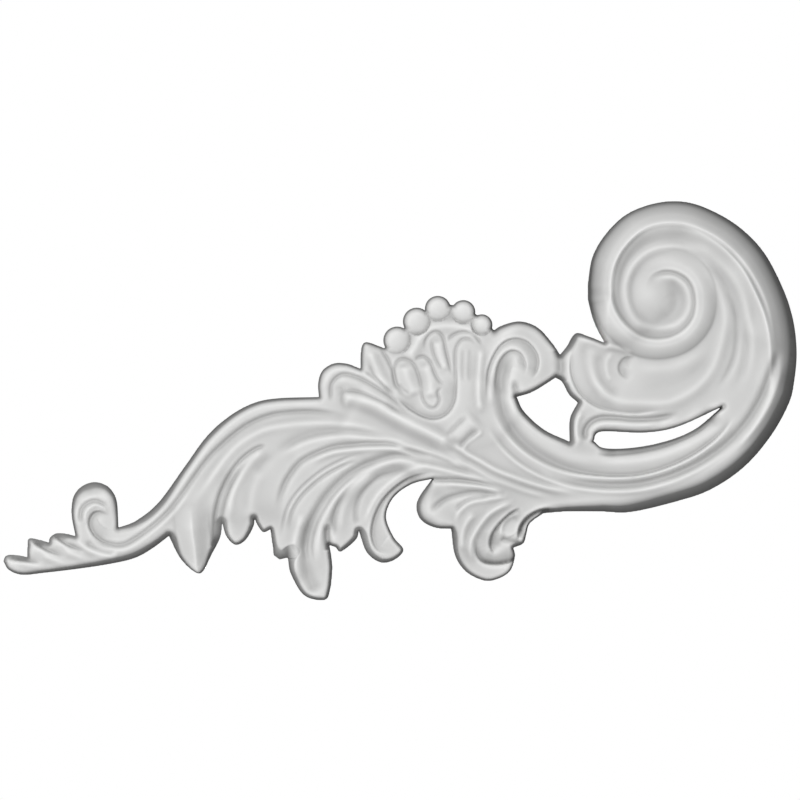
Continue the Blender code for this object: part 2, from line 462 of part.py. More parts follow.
def volute_field(front):
    """The flutes that sweep round the right of the volute's field, and the fold at its lower left."""
    sweep = [(86, 17), (88, 8), (94, 1.5), (102, -1), (118, -1), (125, 1), (131, 4.5), (136.5, 8.5),
             (141.5, 15), (145, 22), (147.3, 30), (147.5, 37), (146, 44), (142, 54), (135, 63), (127, 68.5)]
    front.ridge(2.2, 1.2, sweep, ends=(0.1, 0.15))
    outer = [(158.5, 18), (157.5, 30), (156, 38), (154.5, 45), (152, 51.5), (148, 57.5), (143, 62.5),
             (136, 67.5), (126, 70.5)]
    front.ridge(1.8, 0.9, outer)
    front.groove(1.8, 0.45, beside(outer, 2.8, 4, (0, 0.85)))
    front.step(3.0, 1.1, [(105, 20.8), (100, 19.8), (97.7, 16), (98.5, 12), (102, 9)])
    front.ridge(1.0, 0.7, [(91, 24.8), (96, 24), (100, 23), (104.5, 21)])
    front.ridge(1.3, 0.5, [(96, 22), (92.8, 18), (92.8, 13), (95, 8)])


def volute(front):
    """The large volute: a crest that winds in as a spiral, round outside, hollow inside, with a domed
    eye."""
    turn, radius = smooth(VOLUTE_CREST, 3.0).T
    angle = np.radians(turn)
    spiral = np.column_stack([VOLUTE_MIDDLE[0] + radius * np.cos(angle),
                              VOLUTE_MIDDLE[1] + radius * np.sin(angle)])
    crest = smooth(spiral)
    cells, left, along, distance = front.trace(crest, 22)
    rise = np.interp(along, VOLUTE_ALONG, VOLUTE_RISE)
    outside = np.clip(-left / np.interp(along, VOLUTE_ALONG, VOLUTE_OUTWARDS), 0, 1)
    inside = np.clip(left / np.interp(along, VOLUTE_ALONG, VOLUTE_INWARDS), 0, 1)
    bow = 0.86
    round_side = 1 - (1 - np.sqrt(1 - (bow * outside) ** 2)) / (1 - np.sqrt(1 - bow**2))
    shape = np.where(left < 0, round_side, (1 - inside) ** 2.2)
    front.height[cells] += rise * shape * ease(along / 0.08) * ease((1.02 - along) / 0.1)
    front.groove(0.9, 0.5, beside(crest[::8], 1.5, 1.5, (0.06, 1)), ends=(0.1, 0.05))
    away = np.hypot(front.across - EYE_MIDDLE[0], front.up - EYE_MIDDLE[1]) / EYE_RADIUS
    front.height += EYE_RISE * np.clip(1 - away**2, 0, 1) ** 2
    inner = [(136, 64), (128, 68.3), (120, 69), (111, 66.5), (104.5, 60.5), (101.5, 53), (101.5, 45),
             (104.2, 38.5), (109, 34), (116, 32.3), (123, 34), (128, 38.5), (129.7, 44.5), (128.3, 50.5),
             (124, 54.8), (118, 55.6), (113, 53)]
    front.ridge(1.9, 1.5, inner, ends=(0.15, 0.08))


def beads(front):
    """Five low domes."""
    for x, z, radius in BEADS:
        away = np.hypot(front.across - x, front.up - z) / radius
        dome = BEAD_FOOT + BEAD_RISE * np.sqrt(np.clip(1 - 0.85 * away**2, 0, 1))
        front.height = np.where(away < 1, dome, front.height)


def edge_line(stretches, spacing=0.3):
    """The closed line of the stretches, with the lean and the shoulder at each of its points."""
    rows = []
    for leans, shoulders, points in stretches:
        line = smooth(points, spacing)[:-1]
        along = np.linspace(0, 1, len(line))
        lean = np.interp(along, np.linspace(0, 1, len(leans)), leans)
        shoulder = np.interp(along, np.linspace(0, 1, len(shoulders)), shoulders)
        rows.append(np.column_stack([line, lean, shoulder]))
    return np.vstack(rows)


def filled(front, lines):
    """Which cells lie inside an odd number of the closed lines, from where the lines cross each row."""
    inside = np.zeros(front.across.shape, bool)
    for line in lines:
        a, b = line, np.roll(line, -1, axis=0)
        for j, z in enumerate(front.z):
            hit = (a[:, 1] > z) != (b[:, 1] > z)
            if hit.any():
                t = (z - a[hit, 1]) / (b[hit, 1] - a[hit, 1])
                cross = np.sort(a[hit, 0] + t * (b[hit, 0] - a[hit, 0]))
                inside[j] ^= (np.searchsorted(cross, front.x) % 2).astype(bool)
    return inside


def edges(front):
    """Distance inside the outline, negative outside, with the lean and the shoulder of the nearest edge."""
    lines = [edge_line(OUTLINE)] + [edge_line(gap) for gap in GAPS]
    every = np.vstack(lines)
    square, who = front.nearest(every[:, :2], EDGE_REACH)
    inside = filled(front, [line[:, :2] for line in lines])
    distance = np.where(inside, 1, -1) * np.sqrt(square)
    for x, z, radius in BEADS:
        distance = np.maximum(distance, np.minimum(radius - np.hypot(front.across - x, front.up - z),
                                                   EDGE_REACH))
    lean = blur(np.where(who < 0, 1.0, every[who, 2]), 1.6 / front.pitch)
    shoulder = blur(np.where(who < 0, 2.0, every[who, 3]), 1.6 / front.pitch)
    return distance, lean, shoulder


def carve(pitch):
    """The carved front, and for its cells the distance inside the outline and the lean of the wall."""
    front = Front(pitch)
    volute(front)
    for part in (tail, top_band, left_lobes, leaf_flutes, leaf_shoulder, upper_lobes, shell, collar,
                 small_volute, bud, broad_stem, lower_leaf, volute_field, beads):
        part(front)
    distance, lean, shoulder = edges(front)
    t = 1 - np.clip((distance - lean) / shoulder, 0, 1)
    large = np.clip((shoulder - 3) / 5, 0, 1)
    drop = shoulder * (0.62 + 0.6 * large)
    straight = 0.55 * large
    bow = 0.9
    quarter = (1 - np.sqrt(1 - (bow * t) ** 2)) / (1 - np.sqrt(1 - bow**2))
    front.height -= drop * (straight * t + (1 - straight) * quarter)
    return front, distance, lean


def contours(front, field, level):
    """Closed lines where the field passes the level: each square of the board joins its crossed sides."""
    above = field - level
    above = np.where(np.abs(above) < 1e-9, 1e-9, above)
    inside = above > 0
    across = inside[:, :-1] != inside[:, 1:]
    up = inside[:-1, :] != inside[1:, :]
    ids = np.full((2,) + above.shape, -1)
    ids[0][:, :-1][across] = np.arange(across.sum())
    ids[1][:-1, :][up] = across.sum() + np.arange(up.sum())
    part_across = above[:, :-1] / np.where(across, above[:, :-1] - above[:, 1:], 1)
    part_up = above[:-1, :] / np.where(up, above[:-1, :] - above[1:, :], 1)
    further = front.across[:, :-1] + part_across * front.pitch
    higher = front.up[:-1, :] + part_up * front.pitch
    points = np.vstack([
        np.column_stack([further[across], front.up[:, :-1][across]]),
        np.column_stack([front.across[:-1, :][up], higher[up]]),
    ])
    sides = np.stack([ids[0][:-1, :-1], ids[1][:-1, 1:], ids[0][1:, :-1], ids[1][:-1, :-1]],
                     axis=-1).reshape(-1, 4)
    count = (sides >= 0).sum(axis=1)
    corner = inside[:-1, :-1].ravel()
    links = {}

    def join(a, b):
        links.setdefault(a, []).append(b)
        links.setdefault(b, []).append(a)

    for row in sides[count == 2]:
        a, b = row[row >= 0].tolist()
        join(a, b)
    for (low, right, high, left), filled_corner in zip(sides[count == 4].tolist(), corner[count == 4]):
        join(low, right if filled_corner else left)
        join(high, left if filled_corner else right)
    loops = []
    unseen = set(links)
    while unseen:
        line, now, last = [], min(unseen), None
        while now in unseen:
            unseen.discard(now)
            line.append(now)
            last, now = now, [k for k in links[now] if k != last][0]
        loops.append(points[line])
    return loops


def even(line, step):
    """The closed line resampled at an even step."""
    closed = np.vstack([line, line[:1]])
    run = np.concatenate([[0], np.cumsum(np.hypot(*np.diff(closed, axis=0).T))])
    at = np.linspace(0, run[-1], max(int(round(run[-1] / step)), 8), endpoint=False)
    return np.column_stack([np.interp(at, run, closed[:, 0]), np.interp(at, run, closed[:, 1])])


def sample(front, field, points):
    """The field at free points, in proportion between the four cells around each."""
    x = np.clip((points[:, 0] - front.x[0]) / front.pitch, 0, len(front.x) - 1.001)
    z = np.clip((points[:, 1] - front.z[0]) / front.pitch, 0, len(front.z) - 1.001)
    i, j = x.astype(int), z.astype(int)
    u, v = x - i, z - j
    low = field[j, i] * (1 - u) + field[j, i + 1] * u
    high = field[j + 1, i] * (1 - u) + field[j + 1, i + 1] * u
    return low * (1 - v) + high * v


def within(points, line):
    """Which points lie inside the closed line, by counting the edges to their right."""
    found = np.zeros(len(points), bool)
    near = np.all((points > line.min(axis=0)) & (points < line.max(axis=0)), axis=1)
    p = points[near][:, None]
    a, b = line[None], np.roll(line, -1, axis=0)[None]
    passes = (a[..., 1] > p[..., 1]) != (b[..., 1] > p[..., 1])
    slope = (b[..., 0] - a[..., 0]) / np.where(passes, b[..., 1] - a[..., 1], 1)
    found[near] = (passes & (a[..., 0] + (p[..., 1] - a[..., 1]) * slope > p[..., 0])).sum(axis=1) % 2 == 1
    return found


def triangles(points, rim, loops):
    """Triangles between the points that keep the rim's edges and stay out of the gaps."""
    _, _, faces, origin, _, _ = delaunay_2d_cdt([Vector(p) for p in points], rim, [], 1, 1e-5)
    faces = np.array([ids[0] for ids in origin])[np.array(faces)]
    middle = points[faces].mean(axis=1)
    outer = max(loops, key=lambda line: np.ptp(line[:, 0]))
    keep = np.ones(len(faces), bool)
    for line in loops:
        if line is not outer:
            keep &= ~within(middle, line)
    return faces[keep]


def without_twins(ahead, behind):
    """Both sides' faces, less those at sharp corners that have the same three corners on both sides."""
    first = [tuple(sorted(face)) for face in ahead.tolist()]
    second = [tuple(sorted(face)) for face in behind.tolist()]
    twins = set(first) & set(second)
    return ahead[[face not in twins for face in first]], behind[[face not in twins for face in second]]


def skin(front, distance, lean):
    """Points, heights and faces of the closed body: the carved front, its walls and the flat back. The
    points follow the outline and the top of the wall, and fill a net of triangles that is finer where the
    front is busy."""
    loops = [even(line, EDGE_STEP) for line in contours(front, distance, 0.0) if len(line) > 40]
    edge = np.vstack(loops)
    rings = []
    for ring in RINGS:
        closed = contours(front, distance - lean, ring)
        rings += [even(line, EDGE_STEP) for line in closed if len(line) > 30]
    x, z = np.meshgrid(np.arange(front.x[0], front.x[-1], SURFACE_STEP),
                       np.arange(front.z[0], front.z[-1], SURFACE_STEP * 0.866))
    x[1::2] += SURFACE_STEP / 2
    coarse = np.zeros(x.shape, bool)
    coarse[0::4, 0::2] = True
    coarse[2::4, 1::2] = True
    net = np.column_stack([x.ravel(), z.ravel()])
    detail = blur(np.abs(front.height - blur(front.height, 0.9 / front.pitch)), 0.7 / front.pitch)
    wanted = (sample(front, detail, net) > BUSY) | coarse.ravel()
    net = net[(sample(front, distance - lean, net) > RINGS[-1] + 0.6 * SURFACE_STEP) & wanted]
    points = np.vstack([edge] + rings + [net])
    rim = []
    for line in loops:
        ids = list(range(len(rim), len(rim) + len(line)))
        rim += zip(ids, ids[1:] + ids[:1])
    ahead, behind = without_twins(triangles(points, rim, loops), triangles(edge, rim, loops))
    wall = np.clip(sample(front, distance, points) / sample(front, lean, points), 0, 1)
    heights = sample(front, front.height, points) * wall
    heights[:len(edge)] = 0
    return points, heights, np.vstack([ahead, behind[:, ::-1]])


def primer():
    """Smooth white primer."""
    paint = bpy.data.materials.new("white primer")
    paint.use_nodes = True
    shader = paint.node_tree.nodes["Principled BSDF"]
    shader.inputs["Base Color"].default_value = COLOUR
    shader.inputs["Roughness"].default_value = ROUGHNESS
    shader.inputs["Metallic"].default_value = 0.0
    return paint


def onlay():
    """The onlay in metres, with its back at y = 0 and its carving towards -y."""
    points, heights, faces = skin(*carve(BOARD_PITCH))
    mesh = bpy.data.meshes.new(NAME)
    place = np.column_stack([points[:, 0], -heights, points[:, 1]]) * UNIT
    mesh.from_pydata(place.tolist(), [], faces.tolist())
    mesh.materials.append(primer())
    mesh.shade_smooth()
    body = bpy.data.objects.new(NAME, mesh)
    group = bpy.data.collections.new(NAME)
    bpy.context.scene.collection.children.link(group)
    group.objects.link(body)
    return body


def thin_out(body):
    """Merges the faces that bend least, then lays the back's points exactly flat again."""
    fewer = body.modifiers.new("fewer faces", "DECIMATE")
    fewer.ratio = TRIANGLES / len(body.data.polygons)
    mesh = bpy.data.meshes.new_from_object(body.evaluated_get(bpy.context.evaluated_depsgraph_get()))
    body.modifiers.remove(fewer)
    for vertex in mesh.vertices:
        if abs(vertex.co.y) < FLAT * UNIT:
            vertex.co.y = 0.0
    body.data = mesh


for item in list(bpy.data.objects):
    bpy.data.objects.remove(item, do_unlink=True)
thin_out(onlay())
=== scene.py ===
"""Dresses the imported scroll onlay: fine carving, white primer, a pale floor, soft lights and the camera."""
import math
import bpy
import numpy as np
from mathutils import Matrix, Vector
from mathutils.geometry import delaunay_2d_cdt


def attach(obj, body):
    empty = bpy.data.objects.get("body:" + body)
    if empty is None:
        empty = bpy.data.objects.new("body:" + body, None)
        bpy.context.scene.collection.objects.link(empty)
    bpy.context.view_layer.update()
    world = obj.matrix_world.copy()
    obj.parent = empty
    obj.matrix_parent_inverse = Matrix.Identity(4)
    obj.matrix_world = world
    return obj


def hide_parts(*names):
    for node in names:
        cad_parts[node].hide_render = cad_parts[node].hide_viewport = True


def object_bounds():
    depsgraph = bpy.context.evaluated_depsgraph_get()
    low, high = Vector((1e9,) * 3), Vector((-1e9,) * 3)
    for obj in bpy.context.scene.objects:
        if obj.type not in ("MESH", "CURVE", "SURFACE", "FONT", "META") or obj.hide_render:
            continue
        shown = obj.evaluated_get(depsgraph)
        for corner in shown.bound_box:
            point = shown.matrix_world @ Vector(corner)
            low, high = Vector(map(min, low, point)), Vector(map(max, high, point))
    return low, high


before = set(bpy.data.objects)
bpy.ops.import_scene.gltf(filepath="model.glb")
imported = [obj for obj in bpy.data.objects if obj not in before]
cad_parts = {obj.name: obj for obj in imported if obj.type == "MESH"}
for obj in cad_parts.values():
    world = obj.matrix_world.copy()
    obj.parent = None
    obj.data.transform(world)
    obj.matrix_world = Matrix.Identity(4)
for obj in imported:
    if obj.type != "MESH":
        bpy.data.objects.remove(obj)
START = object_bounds()

# Fineness in millimetres: the board's cells, the skin's steps along the outline, the rings of points at
# the top of the wall, and the net of triangles in between, finer where the front is busy. Short loops are
# left out, by their number of points. Edges above the sharp angle, in degrees, show as sharp.
BOARD_PITCH = 0.3
EDGE_STEP = 0.6
RINGS = (0.0, 0.45, 1.0)
SURFACE_STEP = 0.53
ROW_HEIGHT = 0.866
NET_MARGIN = 0.6
BUSY = 0.034
BUSY_WIDTH = 0.9
BUSY_BLUR = 0.7
SHORT_EDGE = 40
SHORT_RING = 30
SHARP = 72

# Curves and cuts: steps in each span of a curve, fewest steps of a curve and of a loop, one in how many
# points a moved curve keeps, how many widths a ridge and a step reach, over how many millimetres their rims
# fade out, how far right of its curve a step's drop starts, and how far left of it the rise starts.
SPAN_STEPS = 24
FEWEST_STEPS = 3
FEWEST_CORNERS = 8
KEEP_EVERY = 6
RIDGE_REACH = 2.6
STEP_REACH = 2.2
RIM_FADE = 1.5
STEP_LEAD = 0.3
STEP_FOOT = 1

# Primer: its grey, the share, tint and scales of its noise, its roughness, its bump with the depth in
# metres, and how strongly the painted shade and painted light from the relief darken and lighten it.
PAINT = 0.70
MOTTLE = 0.02
WARMTH = 0.99
CLOUD_SCALE = 28.0
GRAIN_SCALE = 420.0
PORE_SCALE = 1400.0
PORE_SHARE = 0.4
ROUGHNESS = 0.5
GRAIN_ROUGHNESS = 0.12
BUMP_STRENGTH = 0.25
BUMP_DEPTH = 0.0002
# Strength of the painted shade in creases and hollows and of the painted light on crests.
PAINTED_SHADE_STRENGTH = 0.25

# Painted light and shade from the relief, in millimetres: over what width a fine line and a broad form
# stand out, what height counts in full, from what depth and over what further depth a hollow is deep, and
# the share of each. Crests are painted lighter, creases and deep hollows painted darker. The foot of the
# wall has a plain, strong painted shade, and the back a plain, slightly darker value.
FINE_WIDTH = 1.1
FINE_HEIGHT = 0.3
BROAD_WIDTH = 3.0
BROAD_HEIGHT = 1.2
DEEP_FROM = 1.6
DEEP_OVER = 1.2
FINE_SHARE = 0.6
BROAD_SHARE = 0.6
DEEP_SHARE = 1.5
FOOT_PAINTED_SHADE = -2.4
BACK_SHADE = -0.6

# Floor: radius and level in metres, its sides and its paint.
FLOOR_RADIUS = 1.4
FLOOR_LEVEL = -0.4
FLOOR_SIDES = 96
FLOOR_GREY = 0.84
FLOOR_SCALE = 6.0
FLOOR_ROUGHNESS = 0.9
FLOOR_COVER = 0.4

# Lamps: place and width in metres, and power in watts. Then the light from all round and the backdrop's.
LAMPS = {
    "key": ((-0.6, -2.15, 0.68), 0.9, 33),
    "front": ((0.15, -2.2, -0.05), 0.9, 9.9),
    "back": ((0, 2.2, 0), 0.3, 20),
}
ROOM_LIGHT = 0.05
BACKDROP_LIGHT = 1.0
WHITE = (1, 1, 1, 1)

# Camera: distance, height and farthest sight in metres, lens and sensor in millimetres.
CAMERA_DISTANCE = 4.0
CAMERA_HEIGHT = 0.00045
CAMERA_SIGHT = 50
CAMERA_LENS = 400
CAMERA_SENSOR = 36

# Driving sizes. The onlay is drawn in millimetres at its full length, x to the right and z up from the
# middle of its outline, with heights from the flat back towards the front. Ridges, grooves and steps are
# wider than drawn by the factor of softness. Distances from the outline stop at the edge's reach.
LENGTH = 357.5
DRAWN_LENGTH = 357.5
UNIT = 0.001 * LENGTH / DRAWN_LENGTH
HALF_BOARD = (182, 93)
SOFTNESS = 1.12
EDGE_REACH = 15.0

# Outline, clockwise from the tail tip. Each stretch is a smooth curve that meets the next at a corner, with
# how far its wall leans in and how wide its shoulder is rounded, spaced evenly along it.
OUTLINE = [
    # tail: three short lobes and a small volute
    ((1.2, 2, 1.4), (2, 3.5, 3.5, 2), [(-178.5, -72), (-177, -69.5), (-172, -69.4), (-167.7, -70.3)]),
    ((0.9, 1.2, 2.4, 1.8), (1.5, 1.5, 4.5, 3), [(-167.7, -70.3), (-167.6, -66), (-167, -62),
                                                (-162.5, -62.4), (-158, -63.7)]),
    ((1.2, 2.2, 1), (1.5, 4, 4, 2.5), [(-158, -63.7), (-157.5, -61.5), (-154.5, -59.5), (-150, -59.8),
                                       (-146, -60.8)]),
    ((1, 1.2, 2.4, 1, 0.5), (2, 2.5, 4.5, 3, 1.5), [
        (-146, -60.8), (-147.7, -52), (-147.5, -45.5), (-146, -41.3), (-142.5, -38), (-137.5, -36.5),
        (-132.5, -37.8), (-129.2, -41), (-127.3, -46), (-126.7, -57)]),
    # upper edge of the leaf's stem
    ((0.8, 2.4, 2.2, 1.6, 1.6, 1.8, 1.4, 1.2, 1, 0.9), (2.5,), [
        (-126.7, -57), (-118.5, -53.7), (-108.5, -45.5), (-97, -29.7), (-87, -16), (-77, -7), (-66, -1),
        (-55, 1.2), (-36.5, 1.8)]),
    # upper curl and small upper leaf
    ((0.8,), (2.5,), [(-36.5, 1.8), (-36.8, 8), (-35, 13.5), (-30, 16.8), (-24, 16.8), (-17.7, 14.5)]),
    ((0.8,), (2,), [(-17.7, 14.5), (-17.7, 20), (-17, 25), (-14.5, 26.4), (-7, 23.7)]),
    # behind the beads, small volute and bud
    ((0.7,), (2,), [(-7, 23.7), (-1, 30), (8, 38), (18, 43), (29, 42), (38, 36), (42.3, 31.8)]),
    ((1.1,), (3, 3, 2), [(42.3, 31.8), (46, 34), (54, 35.8), (62, 33), (68.5, 26), (72, 20.8)]),
    ((1.6, 2.2, 1.4, 1.2), (2,), [(72, 20.8), (75, 24.5), (79, 30.4), (85, 29), (92, 26.2)]),
    # large volute and the underside of the broad stem
    ((0.9,), (2, 4, 7, 10), [(92, 26.2), (87.5, 35), (84.8, 44.5), (84.5, 49)]),
    ((0.9, 0.8, 0.8, 1, 1.6, 1.8, 2.6, 4.4, 4.4, 4.2, 3.8, 2.6, 1.6),
     (10, 9.5, 10, 11, 12, 12, 10.5, 6, 4.5, 4.5, 4, 3.5, 2.5), [
        (84.5, 49), (84.7, 54), (86.7, 65), (92.5, 75), (102, 84), (115, 89), (128, 89.6),
        (140, 85.8), (153, 78), (164, 66.5), (172.6, 50), (177, 36), (178.5, 22), (177.4, 9), (175, -1),
        (167, -15.5), (155, -29.5), (140, -39.7), (125, -45), (104, -49.9), (90, -49.7), (75, -49.7),
        (64.5, -50.5)]),
    # lower leaf
    ((0.8, 0.8, 0.8, 2), (1.5,), [(64.5, -50.5), (58.5, -55), (56.8, -60), (55.5, -64), (51, -66)]),
    ((0.8, 0.7, 1, 1.5, 2.4), (1.5,), [
        (51, -66), (51.7, -70), (49.5, -76.5), (44, -80), (38, -80.8), (30, -77), (24.8, -69.5),
        (23, -57.5)]),
    ((1, 1.2, 1.5, 1), (2, 4.5, 4.5, 2), [
        (23, -57.5), (16, -57), (10, -54), (7.5, -49), (8.5, -43.5), (14.5, -35)]),
    # main leaf, from its hooked lobe leftwards
    ((0.7, 0.7, 0.7, 0.8, 1.2, 2.2, 3.1), (1.3,), [
        (14.5, -35), (5, -37.5), (-3, -43.5), (-6.3, -52), (-3, -61), (1.5, -67), (-3, -71.7), (-9, -72.5),
        (-15, -68), (-18.5, -58.5)]),
    ((1.8, 1.3), (1.3,), [(-18.5, -58.5), (-20, -62.5), (-26.5, -67.7), (-29, -65.8), (-31.8, -64.8)]),
    ((1.2, 1.1, 1.1, 1.6, 2.4), (1.5,), [
        (-31.8, -64.8), (-30.9, -70), (-30.5, -76), (-31.5, -85), (-34, -89.5), (-43, -87.5), (-49, -78),
        (-50.5, -70.5)]),
    ((6.5, 2.2, 1.8, 1.8), (1,), [(-50.5, -70.5), (-56, -71), (-57.3, -65), (-58.3, -57.8)]),
    ((1.4,), (1,), [(-58.3, -57.8), (-61.5, -59), (-64, -56), (-65.5, -52.8)]),
    ((1.8, 1.2, 1, 2), (1.5,), [
        (-65.5, -52.8), (-66, -56.5), (-69.5, -62.5), (-74, -64.7), (-78, -61), (-80, -55)]),
    ((2.6, 2, 0.6, 0.7, 1.3, 3.2), (1.5,), [
        (-80, -55), (-81, -61.5), (-85, -69.5), (-89, -77), (-93, -76.5), (-99, -70.5), (-104, -60.7)]),
    # underside of the tail
    ((1.8, 2.4, 2, 1.5, 1.1, 0.9), (2.5, 2.5, 2, 2, 1.5), [
        (-104, -60.7), (-111, -66), (-119, -70.5), (-130, -73.2), (-145, -75.5), (-160, -77.3),
        (-170, -78.2), (-176, -76), (-178.5, -72)]),
]

# Through gaps, drawn in the same way: between the small volute and the bud, and over the broad stem.
GAPS = [
    [
        ((1.3, 1.1), (2,), [(52.5, 1.8), (60, 4.3), (70, 10.5)]),
        ((1.5,), (2,), [(70, 10.5), (73, 8.5), (76, 3), (80, -0.7)]),
        ((1.6,), (2,), [(80, -0.7), (76.5, -8), (76.3, -18.3)]),
        ((1.6,), (2,), [(76.3, -18.3), (65, -13), (56, -5), (52.5, 1.8)]),
    ],
    [
        ((0.9,), (1.8,), [(87, -18), (90.5, -13.8), (110, -14.2), (125, -11.5), (145, -2.5)]),
        ((0.8,), (1.5,), [(145, -2.5), (133, -12.5), (120, -18), (105, -21), (92, -21.2), (87, -18)]),
    ],
]

# Beads over the shell: middle x, middle z, radius. Then their foot's height, their rise over it, and how
# much of a half-ball each is.
BEADS = [(-1.3, 27.3, 6.2), (7.5, 35.8, 6.2), (17, 41.5, 5.8), (28.5, 40, 5.4), (36.8, 34.2, 4.8)]
BEAD_FOOT = 8.4
BEAD_RISE = 3.4
BEAD_CUT = 0.85

# Spot heights of the front before the carving: x, z, height.
SPOTS = [
    (-172, -74, 4.5), (-160, -70, 6), (-148, -68, 7), (-137, -45, 8), (-130, -54, 6), (-125, -68, 8.5),
    (-108, -56, 9.5), (-95, -40, 11), (-80, -18, 11), (-60, -4, 10.5), (-40, -1, 10), (-92, -62, 9.5),
    (-91, -74, 7.5), (-70, -45, 10), (-74, -62, 7), (-60, -40, 10.5), (-60, -56, 7.5), (-50, -65, 8.5),
    (-40, -86, 7), (-45, -45, 10.5), (-30, -30, 11.5), (-26, -64, 7.5), (-18, -55, 9), (-8, -70, 7),
    (0, -60, 8.5), (0, -45, 9.5), (-10, -10, 13), (10, -15, 14.5), (20, -30, 14.5), (40, -35, 15),
    (-30, 8, 9.5), (-15, 22, 9.5), (-5, 5, 12), (0, 25, 9), (15, 38, 9), (32, 38, 9), (5, 15, 12),
    (15, 25, 12.5), (28, 25, 13), (20, 3, 14.5), (32, -5, 16), (50, 20, 14), (65, 28, 11.5),
    (60, -25, 14.5), (80, -35, 14.5), (100, -37, 14.5), (120, -32, 14.5), (140, -22, 15), (160, -5, 16),
    (170, 15, 17), (172, 35, 18), (112, 8, 14), (90, 15, 12.8), (112, -1, 14.4), (110, -10, 12.5),
    (85, -10, 12), (130, 14, 14.6), (148, 18, 15.6), (152, 45, 16.6), (95, 35, 17.5), (88, 50, 17.5),
    (95, 70, 18), (115, 82, 18.5), (140, 75, 18.5), (160, 55, 18.5), (115, 48, 16.2), (108, 62, 16),
    (125, 65, 16.2), (140, 60, 17), (135, 35, 15.8), (115, 19, 13.4), (100, 16, 13.2), (15, -50, 10),
    (30, -45, 13), (45, -46, 13), (40, -60, 10.5), (40, -77, 7.5), (55, -60, 8.5), (62, -47, 13),
    (110, -46, 12),
]
SPOT_SPREAD = 9.0
SPOT_TAIL = 30
SPOT_FALL = 1.5

# Large volute: its crest winds in to the eye, given as turn in degrees and radius about its middle. Along
# the crest, from the outside inwards, it rises above the field and falls off outwards and inwards. Then
# come its reach, the share of the outer side that stays whole, the powers of both falls, the spacing of
# the turn, one in how many points its groove follows, and how it fades at its ends.
VOLUTE_MIDDLE = (114.5, 47.5)
VOLUTE_CREST = [(-31, 64.8), (-21, 57.3), (-6, 50.8), (10, 45.2), (30, 40.3), (50, 36.7), (72, 34),
                (96, 30.8), (121, 26.2), (149, 22.4), (173, 20.4), (199, 19.6), (226, 19.4), (251, 20),
                (277, 20.4), (302, 20.7), (327, 20.2), (351, 18.7), (381, 17.1), (405, 14.8), (433, 12),
                (462, 9.2), (498, 6)]
VOLUTE_ALONG = [0, 0.12, 0.28, 0.45, 0.58, 0.7, 0.8, 0.9, 1]
VOLUTE_RISE = [0.3, 1.8, 3.2, 3.6, 4.2, 4.2, 3.6, 2.6, 1.0]
VOLUTE_OUTWARDS = [8, 9.5, 12, 12, 8.5, 8.5, 8.5, 9.5, 8]
VOLUTE_INWARDS = [8, 9, 9, 7.5, 7, 6.5, 5, 3, 2]
VOLUTE_REACH = 22
VOLUTE_FLAT = 0.3
VOLUTE_ROUND = 1.5
VOLUTE_HOLLOW = 2.2
VOLUTE_SPACING = 3.0
VOLUTE_KEEP = 8
VOLUTE_FADE = (0.08, 0.1)
VOLUTE_END = 1.02
EYE_MIDDLE = (112.5, 47)
EYE_RADIUS = 12.5
EYE_RISE = 2.6

# Edge: the lean and shoulder far from any edge, how widely both are evened out on the board, the share of
# a shoulder's width by which it drops, how much more and how straight a wide one drops, and how bowed.
PLAIN_LEAN = 1.0
PLAIN_SHOULDER = 2.0
EDGE_BLUR = 1.6
SHOULDER_DROP = 0.62
WIDE_FROM = 3
WIDE_OVER = 5
WIDE_DROP = 0.6
WIDE_STRAIGHT = 0.55
BOW = 0.9


def paced(line, step, fewest, closed=False):
    """The line's points at an even step, but with no fewer than the fewest steps. A closed line's last
    point, which is its first again, is left out."""
    run = np.concatenate([[0], np.cumsum(np.hypot(*np.diff(line, axis=0).T))])
    steps = max(int(round(run[-1] / step)), fewest)
    at = np.linspace(0, run[-1], steps if closed else steps + 1, endpoint=not closed)
    return np.column_stack([np.interp(at, run, line[:, 0]), np.interp(at, run, line[:, 1])])


def heading(line):
    """The line's direction at each of its points, with a length of 1."""
    ahead = np.gradient(line, axis=0)
    return ahead / np.hypot(ahead[:, 0], ahead[:, 1])[:, None]


def smooth(points, spacing=0.5):
    """Smooth curve through the points, at an even spacing: between two points it is a cubic whose slope at
    each end is half the step between the points on either side."""
    p = np.asarray(points, float)
    q = np.vstack([2 * p[0] - p[1], p, 2 * p[-1] - p[-2]])
    t = np.linspace(0, 1, SPAN_STEPS, endpoint=False)[:, None]
    spans = []
    for a, b, c, d in zip(q[:-3], q[1:-2], q[2:-1], q[3:]):
        bend = (2 * a - 5 * b + 4 * c - d) * t**2 + (3 * b - a - 3 * c + d) * t**3
        spans.append(0.5 * (2 * b + (c - a) * t + bend))
    return paced(np.vstack(spans + [p[-1:]]), spacing, FEWEST_STEPS)


def beside(points, first, last, part=(0, 1)):
    """The part of the curve through the points that lies between two fractions of its length, moved to its
    left by an amount that goes evenly from the first to the last."""
    line = smooth(points)
    ahead = heading(line)
    away = np.linspace(first, last, len(line))[:, None]
    moved = line + away * np.column_stack([-ahead[:, 1], ahead[:, 0]])
    return moved[int(part[0] * len(line)):int(part[1] * len(line))][::KEEP_EVERY]


def ease(t):
    """Rises from 0 to 1 with level ends."""
    t = np.clip(t, 0, 1)
    return t * t * (3 - 2 * t)


def blur(field, spread):
    """The field averaged under a bell curve whose spread is in board cells, up to three spreads away,
    first up and then across."""
    reach = int(3 * spread)
    bell = np.exp(-0.5 * (np.arange(-reach, reach + 1) / spread) ** 2)
    bell /= bell.sum()
    for axis in (0, 1):
        size = field.shape[axis]
        padded = np.pad(field, [(reach, reach) if k == axis else (0, 0) for k in (0, 1)], mode="edge")
        field = sum(np.take(padded, range(k, k + size), axis=axis) * w for k, w in enumerate(bell))
    return field


